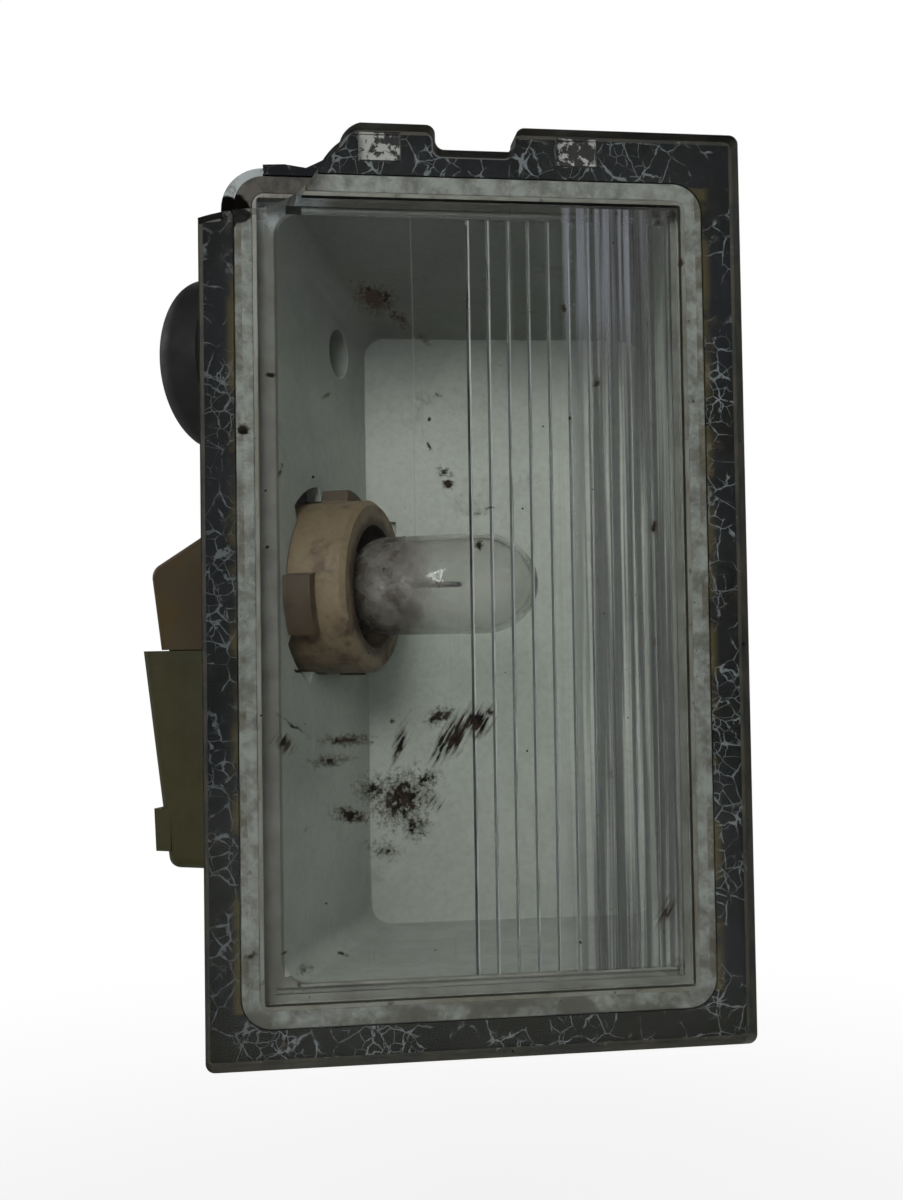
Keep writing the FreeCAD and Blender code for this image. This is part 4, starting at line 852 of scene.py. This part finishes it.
# The filament's coil, in metres, and its number of turns.
COIL_REACH = 2.45 * MM
COIL_RADIUS, WIRE_RADIUS = 0.19 * MM, 0.035 * MM
TURNS, STEPS = 24, 10
SPARE = 0.25 * MM


def make_filament():
    """A coiled wire bowed between the tips of the leads."""
    low, high = along("filament")
    points = []
    for k in range(TURNS * STEPS + 1):
        t = k / (TURNS * STEPS)
        x = COIL_REACH * (2 * t - 1)
        bow = high - SPARE - (high - low - 2 * SPARE) * (1 - (2 * t - 1) ** 2)
        a = 2 * math.pi * k / STEPS
        up, out = COIL_RADIUS * math.cos(a), COIL_RADIUS * math.sin(a)
        points.append(ON_AXIS @ Vector((x, up, bow + out)))
    verts, faces = tube_along(points, WIRE_RADIUS, 6)
    piece("filament_coil", mesh_from("filament_coil", verts, faces, 80), "filament", ["filament"])


SMOOTH = (
    "vent_cap",
    "vent_filter",
    "clip_pin",
    "lead_wire_upper",
    "lead_wire_lower",
    "filament_bead",
    "holder_seal",
)

make_lens()
edged("housing", "moulded_housing", 0.3)
edged("seal_gasket", "rubber_seal", 0.12)
edged("bulb_holder", "moulded_holder", 0.25)
edged("connector_shell", "moulded_shell", 0.45)
make_bulb()
make_filament()

for node in SMOOTH:
    mesh = frame["nodes"][node].data
    for polygon in mesh.polygons:
        polygon.use_smooth = True


# ------------------------------------------------------------------ studio
# The camera that the lens's corners give: turns in degrees, place in millimetres and focal length.
YAW, PITCH, ROLL = 7.497, -1.839, -0.87
CAMERA_PLACE = (-19.77, -133.27, -5.35)
FOCAL_MM = 40.5
CLIP = (0.005, 20.0)


def camera():
    """A camera at the photo's place and angle."""
    base = Matrix(((1, 0, 0), (0, 0, -1), (0, 1, 0)))
    about_y = Matrix.Rotation(-math.radians(YAW), 3, "Y")
    about_x = Matrix.Rotation(math.radians(PITCH), 3, "X")
    about_z = Matrix.Rotation(math.radians(ROLL), 3, "Z")
    right, down, forward = about_z @ about_x @ about_y @ base
    turn = Matrix((right, -down, -forward)).transposed().to_4x4()
    turn.translation = Vector(CAMERA_PLACE) * MM
    data = bpy.data.cameras.new("camera")
    data.lens = FOCAL_MM
    data.clip_start, data.clip_end = CLIP
    ob = bpy.data.objects.new("camera", data)
    SCENE.collection.objects.link(ob)
    ob.matrix_world = turn
    SCENE.camera = ob


# Soft lamps: name, place and size in metres, and share of the light. Some aren't seen in glass.
LAMPS = (
    ("key", (-0.16, -0.5, 0.26), 0.22, 0.56),
    ("fill_left", (-0.5, -0.3, 0.02), 0.3, 0.12),
    ("fill_right", (0.45, -0.36, 0.08), 0.3, 0.09),
    ("rear", (0.15, 0.5, 0.35), 0.3, 0.8),
    ("rear_left", (-0.5, 0.3, 0.2), 0.3, 0.25),
)
HIDDEN_IN_GLASS = ("key", "rear", "rear_left")
AIM = Vector((0, 0.01, 0))


def lamp(name, place, size, share):
    """A soft square lamp that by itself lights a surface facing it to share of its colour."""
    data = bpy.data.lights.new(name, "AREA")
    data.shape = "RECTANGLE"
    data.size = data.size_y = size
    away = Vector(place) - AIM
    data.energy = share * math.pi**2 * away.length_squared
    ob = bpy.data.objects.new(name, data)
    SCENE.collection.objects.link(ob)
    ob.location = place
    ob.rotation_euler = away.to_track_quat("Z", "Y").to_euler()
    ob.visible_transmission = name not in HIDDEN_IN_GLASS


# Two thin tubes that show as short strokes on the bulb's glass, from foot to head in metres.
TUBES = (
    ("tube_left", (-0.4104, -0.4388, 0.0413), (-0.3682, -0.3512, 0.3233)),
    ("tube_right", (-0.407, -0.4421, 0.0357), (-0.3661, -0.3573, 0.3184)),
)
TUBE_WIDTH = 0.0015
TUBE_RADIANCE = 28.0
TUBE_AIM = Vector((-0.003, 0.0, 0.001))


def tube_lamp(name, foot, head):
    """A thin tube lamp between two points, too small to light much but seen in glass."""
    foot, head = Vector(foot), Vector(head)
    middle = (foot + head) / 2
    back = (middle - TUBE_AIM).normalized()
    up = head - foot
    length = up.length
    up = (up - back * up.dot(back)).normalized()
    data = bpy.data.lights.new(name, "AREA")
    data.shape = "RECTANGLE"
    data.size, data.size_y = TUBE_WIDTH, length
    data.energy = TUBE_RADIANCE * math.pi * TUBE_WIDTH * length
    ob = bpy.data.objects.new(name, data)
    SCENE.collection.objects.link(ob)
    turn = Matrix((up.cross(back), up, back)).transposed().to_4x4()
    turn.translation = middle
    ob.matrix_world = turn


WORLD_LIGHT, WORLD_SEEN = 0.1, 1.0


def sky():
    """A dim even world that the camera sees as white."""
    world = bpy.data.worlds.new("studio")
    SCENE.world = world
    world.use_nodes = True
    tree = world.node_tree
    tree.nodes.clear()
    path = tree.nodes.new("ShaderNodeLightPath")
    strength = tree.nodes.new("ShaderNodeMix")
    strength.inputs[2].default_value = WORLD_LIGHT
    strength.inputs[3].default_value = WORLD_SEEN
    tree.links.new(path.outputs["Is Camera Ray"], strength.inputs[0])
    back = tree.nodes.new("ShaderNodeBackground")
    back.inputs["Color"].default_value = (1, 1, 1, 1)
    tree.links.new(strength.outputs[0], back.inputs["Strength"])
    out = tree.nodes.new("ShaderNodeOutputWorld")
    tree.links.new(back.outputs[0], out.inputs["Surface"])


FLOOR_HALF = 3.0
FLOOR_DROP = 38 * MM
GLOW_FROM, GLOW_TO = 0.03, 0.22


def ground():
    """A plain pale floor that fades to white away from the lamp, for the camera only."""
    p = Paint("floor_white")
    matt = p.shader(p.mix(p.noise(6, 3.0), rgb(176, 176, 174), rgb(184, 184, 182)), 0.9)
    glow = p.add("Emission", {"Color": (1, 1, 1, 1), "Strength": 1.0})
    away = p.add("VectorMath", {0: p.flat_xy()}, out="Value", operation="LENGTH")
    white = p.step(away, GLOW_FROM, GLOW_TO, 0.8, 1.0)
    seen = p.times(p.add("LightPath", out="Is Camera Ray"), white)
    level = CAD_BOX[0].z - FLOOR_DROP
    signs = ((-1, -1), (1, -1), (1, 1), (-1, 1))
    corners = [(x * FLOOR_HALF, y * FLOOR_HALF, level) for x, y in signs]
    mesh = bpy.data.meshes.new("floor")
    mesh.from_pydata(corners, [], [(0, 1, 2, 3)])
    mesh.materials.append(p.done(mixed(p, seen, matt, glow)))
    floor = bpy.data.objects.new("floor", mesh)
    SCENE.collection.objects.link(floor)


camera()
for row in LAMPS:
    lamp(*row)
for row in TUBES:
    tube_lamp(*row)
sky()
ground()
SCENE.view_settings.view_transform = "Standard"
